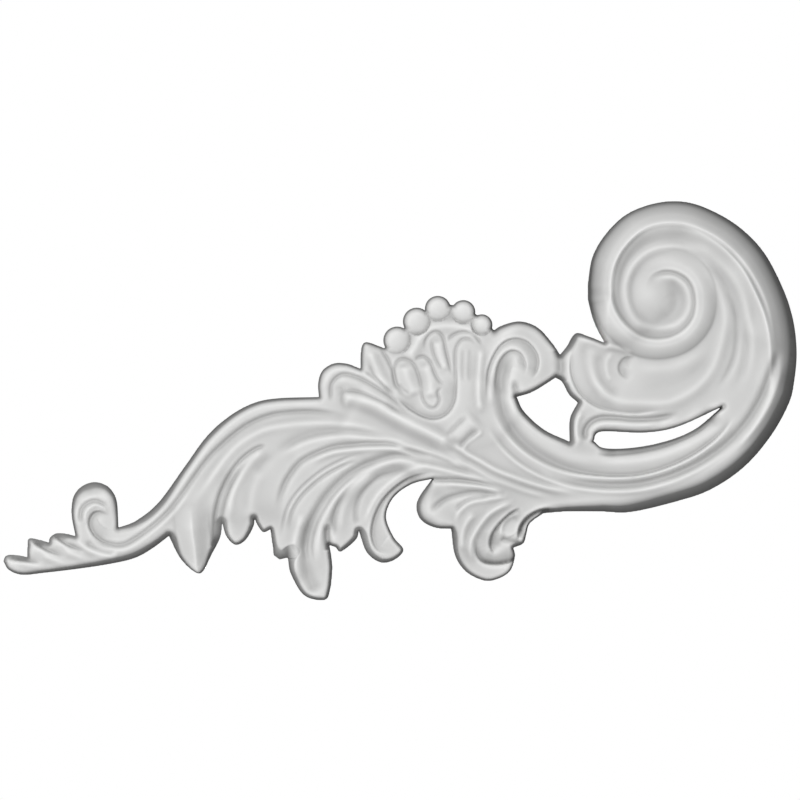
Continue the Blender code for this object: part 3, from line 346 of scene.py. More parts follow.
class Front:
    """The front's height on a square board, with the tools that carve it."""

    def __init__(self, pitch):
        self.pitch = pitch
        self.x = np.arange(-HALF_BOARD[0], HALF_BOARD[0] + pitch, pitch)
        self.z = np.arange(-HALF_BOARD[1], HALF_BOARD[1] + pitch, pitch)
        self.across, self.up = np.meshgrid(self.x, self.z)
        self.height = self.spot_heights()

    def spot_heights(self):
        """The mean of the spot heights, each weighted by a bell curve of its distance plus a long low tail,
        one over a power of the squared distance."""
        total = np.zeros_like(self.across)
        weight = np.zeros_like(self.across)
        for x, z, height in SPOTS:
            square = (self.across - x) ** 2 + (self.up - z) ** 2
            w = np.exp(-square / SPOT_SPREAD**2) + 1 / (square + SPOT_TAIL) ** SPOT_FALL
            total += w * height
            weight += w
        return total / weight

    def nearest(self, line, reach):
        """For each cell within reach, the squared distance to the line and the nearest point's number."""
        square = np.full(self.across.shape, float(reach) ** 2)
        who = np.full(self.across.shape, -1)
        cells = int(np.ceil(reach / self.pitch)) + 1
        for k, (x, z) in enumerate(line):
            i = int(round((x - self.x[0]) / self.pitch))
            j = int(round((z - self.z[0]) / self.pitch))
            window = slice(max(j - cells, 0), j + cells + 1), slice(max(i - cells, 0), i + cells + 1)
            here = (self.across[window] - x) ** 2 + (self.up[window] - z) ** 2
            nearer = here < square[window]
            square[window][nearer] = here[nearer]
            who[window][nearer] = k
        return square, who

    def trace(self, line, reach):
        """The cells within reach of the line, with their distance to its left, the fraction of its length
        that they lie beside, and their plain distance."""
        square, who = self.nearest(line, reach)
        cells = who >= 0
        near = who[cells]
        ahead = heading(line)
        dx = self.across[cells] - line[near, 0]
        dz = self.up[cells] - line[near, 1]
        left = ahead[near, 0] * dz - ahead[near, 1] * dx
        spacing = np.hypot(*(line[1] - line[0]))
        run = near * spacing + ahead[near, 0] * dx + ahead[near, 1] * dz
        return cells, left, run / ((len(line) - 1) * spacing), np.sqrt(square[cells])

    def cut(self, shape, reach, points, ends):
        """Adds a shape of the distance to the left of the curve, faded in and out over its ends."""
        cells, left, along, distance = self.trace(smooth(points), reach)
        fade = ease(along / ends[0]) * ease((1 - along) / ends[1]) * ease((reach - distance) / RIM_FADE)
        self.height[cells] += fade * shape(left)

    def ridge(self, width, rise, points, ends=(0.2, 0.2)):
        """A rounded ridge, a bell curve across; a negative rise cuts a groove."""
        wide = width * SOFTNESS
        reach = RIDGE_REACH * wide + RIM_FADE
        self.cut(lambda left: rise * np.exp(-(left / wide) ** 2), reach, points, ends)

    def groove(self, width, depth, points, ends=(0.2, 0.2)):
        """A rounded groove."""
        self.ridge(width, -depth, points, ends)

    def roof(self, width, rise, points, ends=(0.2, 0.2)):
        """A sharp crest between two even slopes."""
        self.cut(lambda left: rise * np.clip(1 - np.abs(left) / width, 0, 1), width, points, ends)

    def step(self, width, depth, points, ends=(0.2, 0.2)):
        """A steep drop along the curve, on whose left the front rises back over twice the width, by the
        square of the way that is left."""
        wide = width * SOFTNESS

        def shape(left):
            rest = np.clip(1 - (left - STEP_FOOT) / (2 * wide), 0, 1)
            return -depth * ease(left + STEP_LEAD) * rest**2

        self.cut(shape, STEP_REACH * wide + RIM_FADE, points, ends)


def tail(front):
    """The tail: creases of its three lobes, and a small volute with a scooped eye."""
    front.groove(0.9, 1.2, [(-144, -56), (-143.2, -49), (-140, -45.6), (-136, -45), (-131, -48)])
    front.ridge(0.9, 0.9, [(-141, -56), (-141.3, -51), (-139, -47.8), (-135.5, -46.8), (-131, -49.5)])
    front.step(3.6, 2.5, [(-129.5, -51), (-135.5, -49.2), (-139, -50.8), (-140.2, -55.5), (-138, -60.5),
                          (-133.5, -63.6), (-127, -64.9)], ends=(0.3, 0.35))
    front.groove(3.0, 1.0, [(-147, -52), (-144, -44), (-137.5, -40.5), (-131, -43.5)], ends=(0.3, 0.3))
    for x, z, slant in ((-178, -70, 0.4), (-167.3, -62, 1), (-157.3, -60, 1)):
        front.step(2.8, 2.4, [(x - 1, z + 3 * slant), (x + 2, z - 1.2 * slant), (x + 8, z - 5.4 * slant),
                              (x + 17, z - 8.6 * slant)], ends=(0.05, 0.45))
        front.ridge(1.5, 0.8, [(x + 5, z - 6 * slant), (x + 11, z - 9 * slant), (x + 19, z - 11.5 * slant)],
                    ends=(0.3, 0.4))
    front.ridge(1.8, 1.3, [(-148, -62), (-141, -66), (-133, -68.7), (-126, -70)])
    front.groove(1.4, 1.0, [(-142, -63), (-135, -66.8), (-127, -68.6)])


def top_band(front):
    """The groove from the tail along the leaf's upper edge, and the crest below it."""
    line = [(-139, -60), (-136, -62.6), (-130, -64.4), (-121, -63), (-104, -49.5), (-88, -28), (-80, -19.5),
            (-70, -11.5), (-60, -6.8), (-50, -5), (-37, -4.8), (-22, -7)]
    front.groove(1.15, 1.3, line, ends=(0.05, 0.15))
    front.ridge(1.2, 0.5, beside(line, -2.2, -2.2, (0.03, 0.4)))
    crest = [(-94, -50), (-86, -36.5), (-75, -21.8), (-63, -13.6), (-50, -10.6), (-36, -9.8), (-20, -11.3),
             (-6, -15.3), (8, -21.5)]
    front.ridge(1.9, 0.9, crest)
    front.groove(2.8, 1.1, beside(crest, 4.2, 2.2, (0, 0.72)))


def left_lobes(front):
    """The two lobes at the left of the main leaf and the double groove between them."""
    front.roof(8.5, 3.3, [(-93.8, -46), (-93.2, -58), (-92, -67), (-90.8, -80)], ends=(0.35, 0.02))
    front.groove(4.5, 1.9, [(-88, -34), (-86.8, -55), (-86, -82)], ends=(0.55, 0.02))
    line = [(-59.5, -19.6), (-65, -21.6), (-71, -26), (-76, -32.3), (-80, -40), (-82.5, -48), (-83.5, -56),
            (-83.5, -66)]
    front.groove(0.9, 1.2, line, ends=(0.08, 0.03))
    front.groove(0.9, 0.9, beside(line, 2.2, 3.4, (0.2, 1)), ends=(0.25, 0.03))
    front.groove(2.2, 2.1, beside(line, 1.2, 1.7, (0.3, 1)), ends=(0.3, 0.03))
    front.ridge(1.8, 0.9, [(-60, -21.8), (-66, -26.5), (-71, -33.5), (-75.5, -42), (-77.3, -55)],
                ends=(0.12, 0.2))
    front.groove(1.8, 0.5, [(-54.5, -22), (-60, -27), (-65, -33.5), (-68.5, -42), (-69.3, -52)])
    front.ridge(2.6, 0.6, [(-62, -30), (-66, -38), (-67.2, -46), (-66.5, -54)])


def leaf_flutes(front):
    """The flutes of the main leaf, which all run out from its root under the shell."""
    crest = [(-56, -27), (-49, -21.7), (-41, -18), (-32, -16.2), (-22, -15.8), (-12, -16.9), (-2, -19),
             (12, -25)]
    front.ridge(1.7, 1.1, crest)
    front.groove(2.6, 1.2, beside(crest, 2.2, 1.8, (0, 0.85)))
    line = [(14, -25), (-2, -19.6), (-12, -19), (-22, -19.6), (-30, -20.6), (-38, -23.5), (-45, -27.7),
            (-50.6, -35), (-53.8, -43), (-55.2, -52)]
    front.groove(1.3, 1.5, line, ends=(0.15, 0.2))
    front.ridge(1.2, 1.1, beside(line, 2.1, 2.8, (0, 0.68)))
    line = [(-18, -23.8), (-25, -26), (-35, -31.2), (-45, -39.7), (-51, -49), (-54, -62)]
    front.groove(0.6, 0.7, line)
    front.groove(0.8, 0.9, beside(line, 2.6, 2.6))
    deep = [(14, -26.5), (4, -24.3), (-3, -24.5), (-12, -27), (-22, -32), (-31, -40), (-37, -48.5),
            (-41, -57), (-42.7, -66), (-41.5, -76)]
    front.groove(1.9, 2.2, deep, ends=(0.12, 0.15))
    front.groove(0.8, 0.8, beside(deep, 1.5, 3.2, (0.35, 1)))
    front.ridge(1.8, 1.2, beside(deep, 2.4, 6.6, (0.12, 1)))
    front.groove(2.6, 1.4, [(-35, -47), (-40, -55.5), (-42, -63), (-42, -71), (-40.5, -79), (-37, -87)],
                 ends=(0.3, 0.1))
    front.ridge(2.2, 1.2, [(-43, -50), (-46.5, -60), (-47.5, -70), (-45, -82)])
    line = [(-5, -28.3), (-18, -34), (-26, -43), (-29.6, -52), (-29.3, -62)]
    front.groove(1.2, 0.9, line, ends=(0.35, 0.1))
    front.ridge(1.8, 0.7, beside(line, 3.4, 3.2, (0.12, 1)))
    front.groove(1.1, 0.7, [(5, -31), (-8, -33.6), (-16, -40), (-19.7, -48), (-19.4, -57)],
                 ends=(0.35, 0.1))
    front.groove(1.3, 2.6, [(-32.2, -54.5), (-32.8, -60), (-31.8, -67)], ends=(0.3, 0.05))
    fall = [(15, -31), (5, -33.7), (-3, -38.8), (-9, -45.5), (-12.5, -53.5), (-13.2, -61), (-10.5, -67),
            (-4, -69.5)]
    front.step(5.5, 2.6, fall, ends=(0.3, 0.28))
    front.ridge(1.5, 1.0, beside(fall, -2.1, -3, (0, 0.75)))


def leaf_shoulder(front):
    """The bright ridge between the main leaf and the shell, and the hollow under it."""
    ridge = [(-27, 1.5), (-20, 1.2), (-12, -1.5), (-5, -5.2), (5, -10.5), (13, -14.3), (19, -17.4),
             (25, -20.6)]
    front.ridge(3.0, 3.0, ridge, ends=(0.06, 0.12))
    front.groove(4.2, 0.9, beside(ridge, -5.5, -5.5))
    front.ridge(1.3, 0.9, [(-4, -19.8), (6, -21.6), (14, -23.6), (22, -26.6), (31, -30.4)])
    front.groove(1.1, 0.8, [(-2, -21), (8, -22.8), (16, -25), (26, -28.8)])
    front.ridge(1.2, 0.8, [(4, -28.6), (12, -29.4), (22, -31.6), (34, -35), (46, -38.6)])
    front.groove(1.1, 0.5, [(4, -26), (12, -27), (22, -29.4), (34, -33.2)])


def upper_lobes(front):
    """The curl above the leaf's stem and the small upright leaf beside the shell."""
    line = [(-31, -1), (-31, 6.5), (-29, 10), (-25.5, 11.9), (-20, 11), (-12, 7), (-5, 2.5), (2, -3)]
    front.groove(0.8, 0.9, line, ends=(0.1, 0.2))
    front.ridge(2.4, 1.1, beside(line, -2.9, -3, (0.12, 0.95)))
    front.ridge(2.2, 1.0, beside(line, 2.8, 3, (0.1, 0.8)))
    front.groove(0.8, 0.8, [(-28.5, 1.5), (-25.5, 3.9), (-21, 4.6), (-15, 3), (-6, -1.2), (2, -6.5)])
    front.groove(0.8, 1.0, [(-9.5, 24.5), (-6, 19.5), (-3.5, 14), (-2.5, 9), (-1, 4)])
    front.ridge(2.2, 1.3, [(-14.5, 24.5), (-12, 18), (-8.5, 11), (-4, 4)])
    front.groove(0.6, 0.6, [(-14.5, 17), (-12, 12), (-8, 7.5), (-4, 3.8)])
    front.groove(0.8, 0.8, [(-17, 14.5), (-13, 11.5), (-8, 7), (-2, 2)])


def shell(front):
    """The shell: a ledge under the beads, and domed petals outlined by fine creases."""
    front.ridge(2.8, 2.2, [(2, 18), (6, 23.5), (9, 29), (14, 33), (22, 34.2), (31, 32.8), (37, 28.5)],
                ends=(0.1, 0.15))
    for width, rise, middle in (
            (2.8, 1.3, [(2, 17), (3.5, 10), (7, 2)]),
            (2.6, 1.3, [(11, 17.5), (13, 10), (14, 1)]),
            (2.2, 1.2, [(16.5, 28), (18.3, 20), (20.5, 13)])):
        front.ridge(width, rise, middle)
    for depth, crease in (
            (0.8, [(5, 0), (1, 3), (-1.5, 8), (-2.7, 14), (-1, 18), (2, 18.9), (5.5, 17.2), (7.8, 13),
                   (9.3, 7), (9.6, 1)]),
            (0.8, [(7, 16.5), (7.6, 19), (10.5, 19.9), (13.5, 17.5), (15.8, 12), (18, 8.6), (21, 7.3)]),
            (0.8, [(9.3, 6), (10.2, 1), (12.6, -2.4), (15.6, -2.9), (17.6, 0), (17, 4), (19.5, 7)]),
            (0.9, [(10.8, 22.5), (11.6, 27.3), (14, 30.3), (16.8, 31), (19.3, 28.5), (20.8, 22),
                   (23.6, 10.5)]),
            (0.7, [(14.7, 28), (14.4, 24), (16, 18.5), (19.3, 13)]),
            (0.9, [(21, 26), (23, 29), (27.5, 30.9), (32, 30.2), (35, 27.7), (37, 24.5)]),
            (0.7, [(25, 8), (24.7, 18), (25.3, 24), (28, 27.6), (32, 27.5), (35, 25)]),
            (0.4, [(-0.8, 8), (1.5, 5), (4.5, 3)]),
            (0.3, [(28.3, 24), (28.2, 16), (28, 8)]),
            (0.3, [(31.5, 24.5), (31.2, 16), (31, 8)])):
        front.groove(0.7, depth, crease)
    front.ridge(1.8, 1.3, [(36.6, 25), (35.6, 15), (35.2, 2), (36.6, -6)], ends=(0.15, 0.15))
    front.step(4.5, 2.0, [(-2.5, 2), (4, -4), (11, -7.8), (17, -8.3), (22, -5.5), (25, 0), (25.8, 8),
                          (26, 16)],
               ends=(0.2, 0.25))


def collar(front):
    """The short bar that ties the shell to the stem."""
    bar = [(22.5, -19), (28, -13.5), (35, -7)]
    front.ridge(4.2, 1.4, bar, ends=(0.3, 0.25))
    front.groove(1.8, 1.3, beside(bar, -4.2, -4.2), ends=(0.35, 0.35))
    front.groove(1.0, 0.7, beside(bar, 3.8, 3.8), ends=(0.35, 0.35))
    front.ridge(0.9, 0.8, [(28, -22.5), (29.5, -19.5), (33, -16.5), (37.5, -13.5)])


def small_volute(front):
    """The small volute: an outer roll, a band with a thin ridge, and a scoop that runs on along the broad
    stem, each a step below the last. Grooves part it from the bud and from the gap's corner."""
    front.step(5.0, 1.7, [(59.3, 9.3), (61.9, 13.5), (62.6, 18.5), (61, 23), (57.5, 26.8), (53, 28.4),
                          (48.5, 27.8), (44.5, 25), (41.3, 20), (39, 13.5), (38.3, 6), (38.3, -2)],
               ends=(0.1, 0.3))
    front.step(4.5, 1.5, [(55.8, 11), (56.9, 14.5), (56.5, 18), (54.8, 21.3), (52, 22.9), (49, 22.7),
                          (46.3, 20.8), (44, 17.3), (42.7, 12.5), (42.2, 6), (42.7, 0)], ends=(0.22, 0.3))
    front.ridge(1.3, 0.5, [(41.2, -2), (41.3, 9), (43, 16.8), (46, 21.8), (49.6, 24), (53, 23.8),
                           (56.6, 20.5), (58, 15)], ends=(0.1, 0.3))
    front.groove(2.7, 2.9, [(53.5, 20.3), (50.7, 19.8), (48.2, 17.5), (46.4, 13.5), (45.3, 8), (45.6, 0),
                            (48, -8), (52.5, -15), (58.5, -20.8), (66, -25.8), (75, -29.8), (86, -32),
                            (100, -32.8)],
                 ends=(0.12, 0.35))
    front.groove(2.0, 2.6, [(71.5, 23), (72.2, 16), (72, 9)], ends=(0.05, 0.05))
    front.groove(1.5, 1.6, [(51, 10.5), (51.4, 7), (52.2, 4), (52.8, 1.5)], ends=(0.5, 0.02))


def bud(front):
    """The bud right of the small volute, with the hooked tube that bridges down to the stem."""
    front.step(4.0, 1.3, [(77, 26), (76, 14), (79, 5), (84, -0.5), (92, -4.3), (105, -6), (118, -4.5)])
    hook = [(126, -5.5), (115, -7.8), (105, -8.2), (97, -7.5), (90, -7.6), (85.5, -9.7), (83.2, -13.5),
            (83.7, -18.5)]
    front.groove(1.3, 2.2, hook, ends=(0.2, 0.08))
    front.ridge(1.6, 1.4, beside(hook, 2.2, 3, (0.18, 0.95)))
    front.ridge(1.4, 1.2, [(82, -4), (79.3, -9), (79, -15), (81.5, -20)])
    front.groove(2.0, 0.5, [(82.5, 27), (82, 17), (85, 8), (91, 0.5)])
    front.groove(2.0, 0.5, [(89.5, 23), (89.5, 13), (93.5, 6), (100, 3)])


def broad_stem(front):
    """The lines of the broad stem, most of them beside one thin ridge that sweeps up to the volute."""
    lip = [(88.5, -21), (92, -21.6), (97, -21.7), (107, -20.8), (120, -18), (133, -12.3), (143, -4.5)]
    front.groove(3.1, 4.6, lip, ends=(0.14, 0.1))
    front.step(2.5, 1.1, beside(lip, -3.2, -2.2), ends=(0.12, 0.2))
    ridge = [(41, 0), (43.3, -8), (48.3, -15.7), (54, -21.7), (60, -26), (68, -30), (77, -32.8),
             (86, -34.3), (97, -35), (108, -34.3), (118, -31.7), (128, -27.5), (137, -22), (145, -15),
             (153, -4)]
    front.ridge(1.0, 0.9, ridge)
    front.step(4.5, 2.6, beside(ridge, 0.8, 0.9, (0.28, 0.98)), ends=(0.35, 0.2))
    front.ridge(1.1, 0.9, beside(ridge, -5.6, -5.6, (0.06, 0.9)))
    front.groove(1.4, 0.4, beside(ridge, -3.5, -3.5, (0.06, 0.32)))
    front.groove(1.9, 2.2, [(64, -31), (74, -35), (83, -36.8), (95, -37.6), (107, -36.9), (120, -33.8),
                            (131, -29.3), (140, -24), (147.5, -18), (155, -9.6), (160.6, -1), (164.7, 8),
                            (167.5, 16), (169.3, 24)],
                 ends=(0.2, 0.06))
    branch = [(21, -18.5), (27, -21.5), (30.5, -24), (36, -27), (43, -31), (51, -34.2), (60, -37.3),
              (70, -39.8), (84, -41.5)]
    front.ridge(1.4, 1.5, branch, ends=(0.12, 0.3))
    front.ridge(1.2, 0.7, beside(branch, -4.3, -3.8, (0, 0.8)))
    front.ridge(1.3, 0.9, [(150, -22), (158, -13.5), (165, -3), (169.5, 8), (171.8, 18)])


def lower_leaf(front):
    """The leaf under the stem: soft flutes at its left, and a lobe that curls up at its right."""
    front.groove(1.2, 1.9, [(14.6, -35.4), (20, -35.4), (28, -35.8), (36, -36.8), (47, -39.5)],
                 ends=(0.04, 0.4))
    front.ridge(1.3, 1.3, [(19, -37), (30, -37.6), (38, -38.8), (47, -41)])
    front.groove(1.3, 1.3, [(13, -51), (17, -46.5), (22, -43.4), (29, -41.5), (36, -41), (45, -42.5)])
    front.groove(1.1, 0.9, [(24, -50), (28, -46.3), (33, -43.8), (41, -43)])
    front.ridge(1.2, 1.0, [(24, -56), (26.5, -49.7), (31, -45.8), (38, -44.2), (50, -42.8)])
    front.ridge(1.3, 0.9, [(28, -68), (28, -60), (30, -54.5), (34, -50)])
    front.ridge(1.4, 1.5, [(33, -73), (31.7, -66), (33, -60.5), (38, -53), (43, -48.7), (52, -44.5)])
    front.step(3.0, 4.4, [(33.6, -62), (34, -68.5), (37, -72.6), (43, -73.8), (49.5, -72.8), (56, -70.5)],
               ends=(0.5, 0.04))
    front.groove(5.0, 2.2, [(43.5, -58.5), (43.5, -63), (46, -66), (50, -67.6), (57, -68)], ends=(0.3, 0.1))
    front.step(4.5, 3.2, [(54, -47.3), (49, -50.3), (44.5, -54.5), (41, -59.5), (40, -64.5), (42, -70)])
    front.ridge(1.0, 1.0, [(45.5, -62), (45.3, -57), (48, -52.7), (54, -50)])
    front.step(3.5, 4.4, [(70, -48), (63, -48.5), (57, -51.7), (53.5, -56.5), (52.5, -63)])
    front.groove(1.2, 1.2, [(45, -61), (49, -63), (55, -63.5)])


def volute_field(front):
    """The flutes that sweep round the right of the volute's field, and the fold at its lower left."""
    sweep = [(86, 17), (88, 8), (94, 1.5), (102, -1), (118, -1), (125, 1), (131, 4.5), (136, 9),
             (140.2, 15), (143, 22), (145, 30), (145.8, 37), (144.8, 44), (141, 54), (135, 63), (127, 68.5)]
    front.ridge(2.4, 1.1, sweep, ends=(0.1, 0.15))
    outer = [(151, 2), (156, 12), (157.8, 22), (157.5, 30), (156, 38), (154.5, 45), (152, 51.5),
             (148, 57.5), (143, 62.5), (136, 67.5), (126, 70.5)]
    front.ridge(2.2, 0.8, outer, ends=(0.3, 0.15))
    front.groove(1.8, 0.45, beside(outer, 2.8, 4, (0, 0.85)))
    front.groove(1.3, 0.7, [(140, 3), (146.5, 12), (150.3, 22), (151, 34), (149.5, 43), (145, 52)],
                 ends=(0.3, 0.3))
    front.ridge(3.0, 0.8, [(103, 15), (112, 14.4), (122, 15), (132, 19.2), (140, 27)], ends=(0.3, 0.3))
    front.groove(3.0, 0.5, [(104, 6.5), (114, 6), (124, 7.5), (133, 13), (140, 21)], ends=(0.3, 0.3))
    front.ridge(1.6, 0.5, [(165.5, 0), (167.3, 12), (166.5, 26), (163.5, 40), (158, 52)], ends=(0.3, 0.3))
    front.step(3.6, 1.0, [(106, 20.4), (100.5, 19.6), (97.8, 16), (98.6, 12), (103, 8.5)],
               ends=(0.25, 0.35))
    front.groove(2.4, 0.8, [(104, 18.8), (101, 17.8), (99.6, 15.3), (100.3, 12.4), (103.5, 9.5)],
                 ends=(0.3, 0.35))
    front.ridge(3.4, 0.6, [(87, 25), (85.6, 17), (87.2, 10), (91, 4.8), (97, 1)], ends=(0.15, 0.3))
    front.ridge(1.0, 0.7, [(91, 24.8), (96, 24), (100, 23), (104.5, 21)])
    front.ridge(1.3, 0.5, [(96, 22), (92.8, 18), (92.8, 13), (95, 8)])


def volute(front):
    """The large volute: a crest that winds in as a spiral. Outside it the rise stays whole and then falls
    by a power of the distance; inside it falls by a power of the way that is left. The eye's dome is one
    less the squared distance, squared."""
    turn, radius = smooth(VOLUTE_CREST, VOLUTE_SPACING).T
    angle = np.radians(turn)
    spiral = np.column_stack([VOLUTE_MIDDLE[0] + radius * np.cos(angle),
                              VOLUTE_MIDDLE[1] + radius * np.sin(angle)])
    crest = smooth(spiral)
    cells, left, along, _ = front.trace(crest, VOLUTE_REACH)
    rise = np.interp(along, VOLUTE_ALONG, VOLUTE_RISE)
    outside = np.clip(-left / np.interp(along, VOLUTE_ALONG, VOLUTE_OUTWARDS), 0, 1)
    inside = np.clip(left / np.interp(along, VOLUTE_ALONG, VOLUTE_INWARDS), 0, 1)
    round_side = 1 - np.clip((outside - VOLUTE_FLAT) / (1 - VOLUTE_FLAT), 0, 1) ** VOLUTE_ROUND
    shape = np.where(left < 0, round_side, (1 - inside) ** VOLUTE_HOLLOW)
    fade = ease(along / VOLUTE_FADE[0]) * ease((VOLUTE_END - along) / VOLUTE_FADE[1])
    front.height[cells] += rise * shape * fade
    front.groove(0.9, 0.5, beside(crest[::VOLUTE_KEEP], 1.5, 1.5, (0.06, 1)), ends=(0.1, 0.05))
    away = np.hypot(front.across - EYE_MIDDLE[0], front.up - EYE_MIDDLE[1]) / EYE_RADIUS
    front.height += EYE_RISE * np.clip(1 - away**2, 0, 1) ** 2
    inner = [(136, 64), (128, 68.3), (120, 69), (111, 66.5), (104.5, 60.5), (101.5, 53), (101.5, 45),
             (104.2, 38.5), (109, 34), (116, 32.3), (123, 34), (128, 38.5), (129.7, 44.5), (128.3, 50.5),
             (124, 54.8), (118, 55.6), (113, 53)]
    front.ridge(1.9, 1.5, inner, ends=(0.15, 0.08))
    front.groove(3.2, 1.2, [(111, 36.8), (117.5, 36.9), (122.2, 40.2), (124, 45.2), (122.6, 50),
                            (118.5, 53)], ends=(0.35, 0.3))


def beads(front):
    """Five low domes, each over its foot by the root of one less most of the squared distance, in radii."""
    for x, z, radius in BEADS:
        away = np.hypot(front.across - x, front.up - z) / radius
        dome = BEAD_FOOT + BEAD_RISE * np.sqrt(np.clip(1 - BEAD_CUT * away**2, 0, 1))
        front.height = np.where(away < 1, dome, front.height)


def edge_line(stretches, spacing=0.3):
    """The closed line of the stretches, with the lean and the shoulder at each of its points."""
    rows = []
    for leans, shoulders, points in stretches:
        line = smooth(points, spacing)[:-1]
        along = np.linspace(0, 1, len(line))
        wall = [np.interp(along, np.linspace(0, 1, len(given)), given) for given in (leans, shoulders)]
        rows.append(np.column_stack([line] + wall))
    return np.vstack(rows)


def filled(front, lines):
    """Which cells lie inside an odd number of the closed lines, from where the lines cross each row."""
    inside = np.zeros(front.across.shape, bool)
    for line in lines:
        a, b = line, np.roll(line, -1, axis=0)
        for j, z in enumerate(front.z):
            hit = (a[:, 1] > z) != (b[:, 1] > z)
            if hit.any():
                t = (z - a[hit, 1]) / (b[hit, 1] - a[hit, 1])
                cross = np.sort(a[hit, 0] + t * (b[hit, 0] - a[hit, 0]))
                inside[j] ^= (np.searchsorted(cross, front.x) % 2).astype(bool)
    return inside


def edges(front):
    """Distance inside the outline, negative outside, with the lean and the shoulder of the nearest edge."""
    lines = [edge_line(OUTLINE)] + [edge_line(gap) for gap in GAPS]
    every = np.vstack(lines)
    square, who = front.nearest(every[:, :2], EDGE_REACH)
    inside = filled(front, [line[:, :2] for line in lines])
    distance = np.where(inside, 1, -1) * np.sqrt(square)
    for x, z, radius in BEADS:
        distance = np.maximum(distance, np.minimum(radius - np.hypot(front.across - x, front.up - z),
                                                   EDGE_REACH))
    lean = blur(np.where(who < 0, PLAIN_LEAN, every[who, 2]), EDGE_BLUR / front.pitch)
    shoulder = blur(np.where(who < 0, PLAIN_SHOULDER, every[who, 3]), EDGE_BLUR / front.pitch)
    return distance, lean, shoulder


def carve(pitch):
    """The carved front, and for its cells the distance inside the outline and the lean of the wall. The
    front drops over its shoulder along a bowed curve, the more and the straighter the wider it is."""
    front = Front(pitch)
    volute(front)
    for part in (tail, top_band, left_lobes, leaf_flutes, leaf_shoulder, upper_lobes, shell, collar,
                 small_volute, bud, broad_stem, lower_leaf, volute_field, beads):
        part(front)
    distance, lean, shoulder = edges(front)
    t = 1 - np.clip((distance - lean) / shoulder, 0, 1)
    large = np.clip((shoulder - WIDE_FROM) / WIDE_OVER, 0, 1)
    drop = shoulder * (SHOULDER_DROP + WIDE_DROP * large)
    straight = WIDE_STRAIGHT * large
    bowed = (1 - np.sqrt(1 - (BOW * t) ** 2)) / (1 - np.sqrt(1 - BOW**2))
    front.height -= drop * (straight * t + (1 - straight) * bowed)
    return front, distance, lean


def contours(front, field, level):
    """Closed lines where the field passes the level: each square of the board joins its crossed sides."""
    tiny = 1e-9
    above = field - level
    above = np.where(np.abs(above) < tiny, tiny, above)
    inside = above > 0
    across = inside[:, :-1] != inside[:, 1:]
    up = inside[:-1, :] != inside[1:, :]
    ids = np.full((2,) + above.shape, -1)
    ids[0][:, :-1][across] = np.arange(across.sum())
    ids[1][:-1, :][up] = across.sum() + np.arange(up.sum())
    part_across = above[:, :-1] / np.where(across, above[:, :-1] - above[:, 1:], 1)
    part_up = above[:-1, :] / np.where(up, above[:-1, :] - above[1:, :], 1)
    further = front.across[:, :-1] + part_across * front.pitch
    higher = front.up[:-1, :] + part_up * front.pitch
    points = np.vstack([
        np.column_stack([further[across], front.up[:, :-1][across]]),
        np.column_stack([front.across[:-1, :][up], higher[up]]),
    ])
    sides = np.stack([ids[0][:-1, :-1], ids[1][:-1, 1:], ids[0][1:, :-1], ids[1][:-1, :-1]],
                     axis=-1).reshape(-1, 4)
    count = (sides >= 0).sum(axis=1)
    corner = inside[:-1, :-1].ravel()
    links = {}

    def join(a, b):
        links.setdefault(a, []).append(b)
        links.setdefault(b, []).append(a)

    for row in sides[count == 2]:
        a, b = row[row >= 0].tolist()
        join(a, b)
    for (low, right, high, left), filled_corner in zip(sides[count == 4].tolist(), corner[count == 4]):
        join(low, right if filled_corner else left)
        join(high, left if filled_corner else right)
    loops = []
    unseen = set(links)
    while unseen:
        line, now, last = [], min(unseen), None
        while now in unseen:
            unseen.discard(now)
            line.append(now)
            last, now = now, [k for k in links[now] if k != last][0]
        loops.append(points[line])
    return loops


def even(line, step):
    """The loop's points at an even step."""
    return paced(np.vstack([line, line[:1]]), step, FEWEST_CORNERS, closed=True)


def sample(front, field, points):
    """The field at free points, in proportion between the four cells around each, which stay on the
    board."""
    margin = 1.001
    x, z = (np.clip((points[:, k] - axis[0]) / front.pitch, 0, len(axis) - margin)
            for k, axis in enumerate((front.x, front.z)))
    i, j = x.astype(int), z.astype(int)
    u, v = x - i, z - j
    low = field[j, i] * (1 - u) + field[j, i + 1] * u
    high = field[j + 1, i] * (1 - u) + field[j + 1, i + 1] * u
    return low * (1 - v) + high * v


def within(points, line):
    """Which points lie inside the closed line, by counting the edges to their right."""
    found = np.zeros(len(points), bool)
    near = np.all((points > line.min(axis=0)) & (points < line.max(axis=0)), axis=1)
    p = points[near][:, None]
    a, b = line[None], np.roll(line, -1, axis=0)[None]
    passes = (a[..., 1] > p[..., 1]) != (b[..., 1] > p[..., 1])
    slope = (b[..., 0] - a[..., 0]) / np.where(passes, b[..., 1] - a[..., 1], 1)
    found[near] = (passes & (a[..., 0] + (p[..., 1] - a[..., 1]) * slope > p[..., 0])).sum(axis=1) % 2 == 1
    return found


def triangles(points, rim, loops):
    """Triangles between the points that keep the rim's edges and stay out of the gaps."""
    inside, nearness = 1, 1e-5
    _, _, faces, origin, _, _ = delaunay_2d_cdt([Vector(p) for p in points], rim, [], inside, nearness)
    faces = np.array([ids[0] for ids in origin])[np.array(faces)]
    middle = points[faces].mean(axis=1)
    outer = max(loops, key=lambda line: np.ptp(line[:, 0]))
    keep = np.ones(len(faces), bool)
    for line in loops:
        if line is not outer:
            keep &= ~within(middle, line)
    return faces[keep]


def without_twins(ahead, behind):
    """Both sides' faces, less those at sharp corners that have the same three corners on both sides."""
    first = [tuple(sorted(face)) for face in ahead.tolist()]
    second = [tuple(sorted(face)) for face in behind.tolist()]
    twins = set(first) & set(second)
    return ahead[[face not in twins for face in first]], behind[[face not in twins for face in second]]


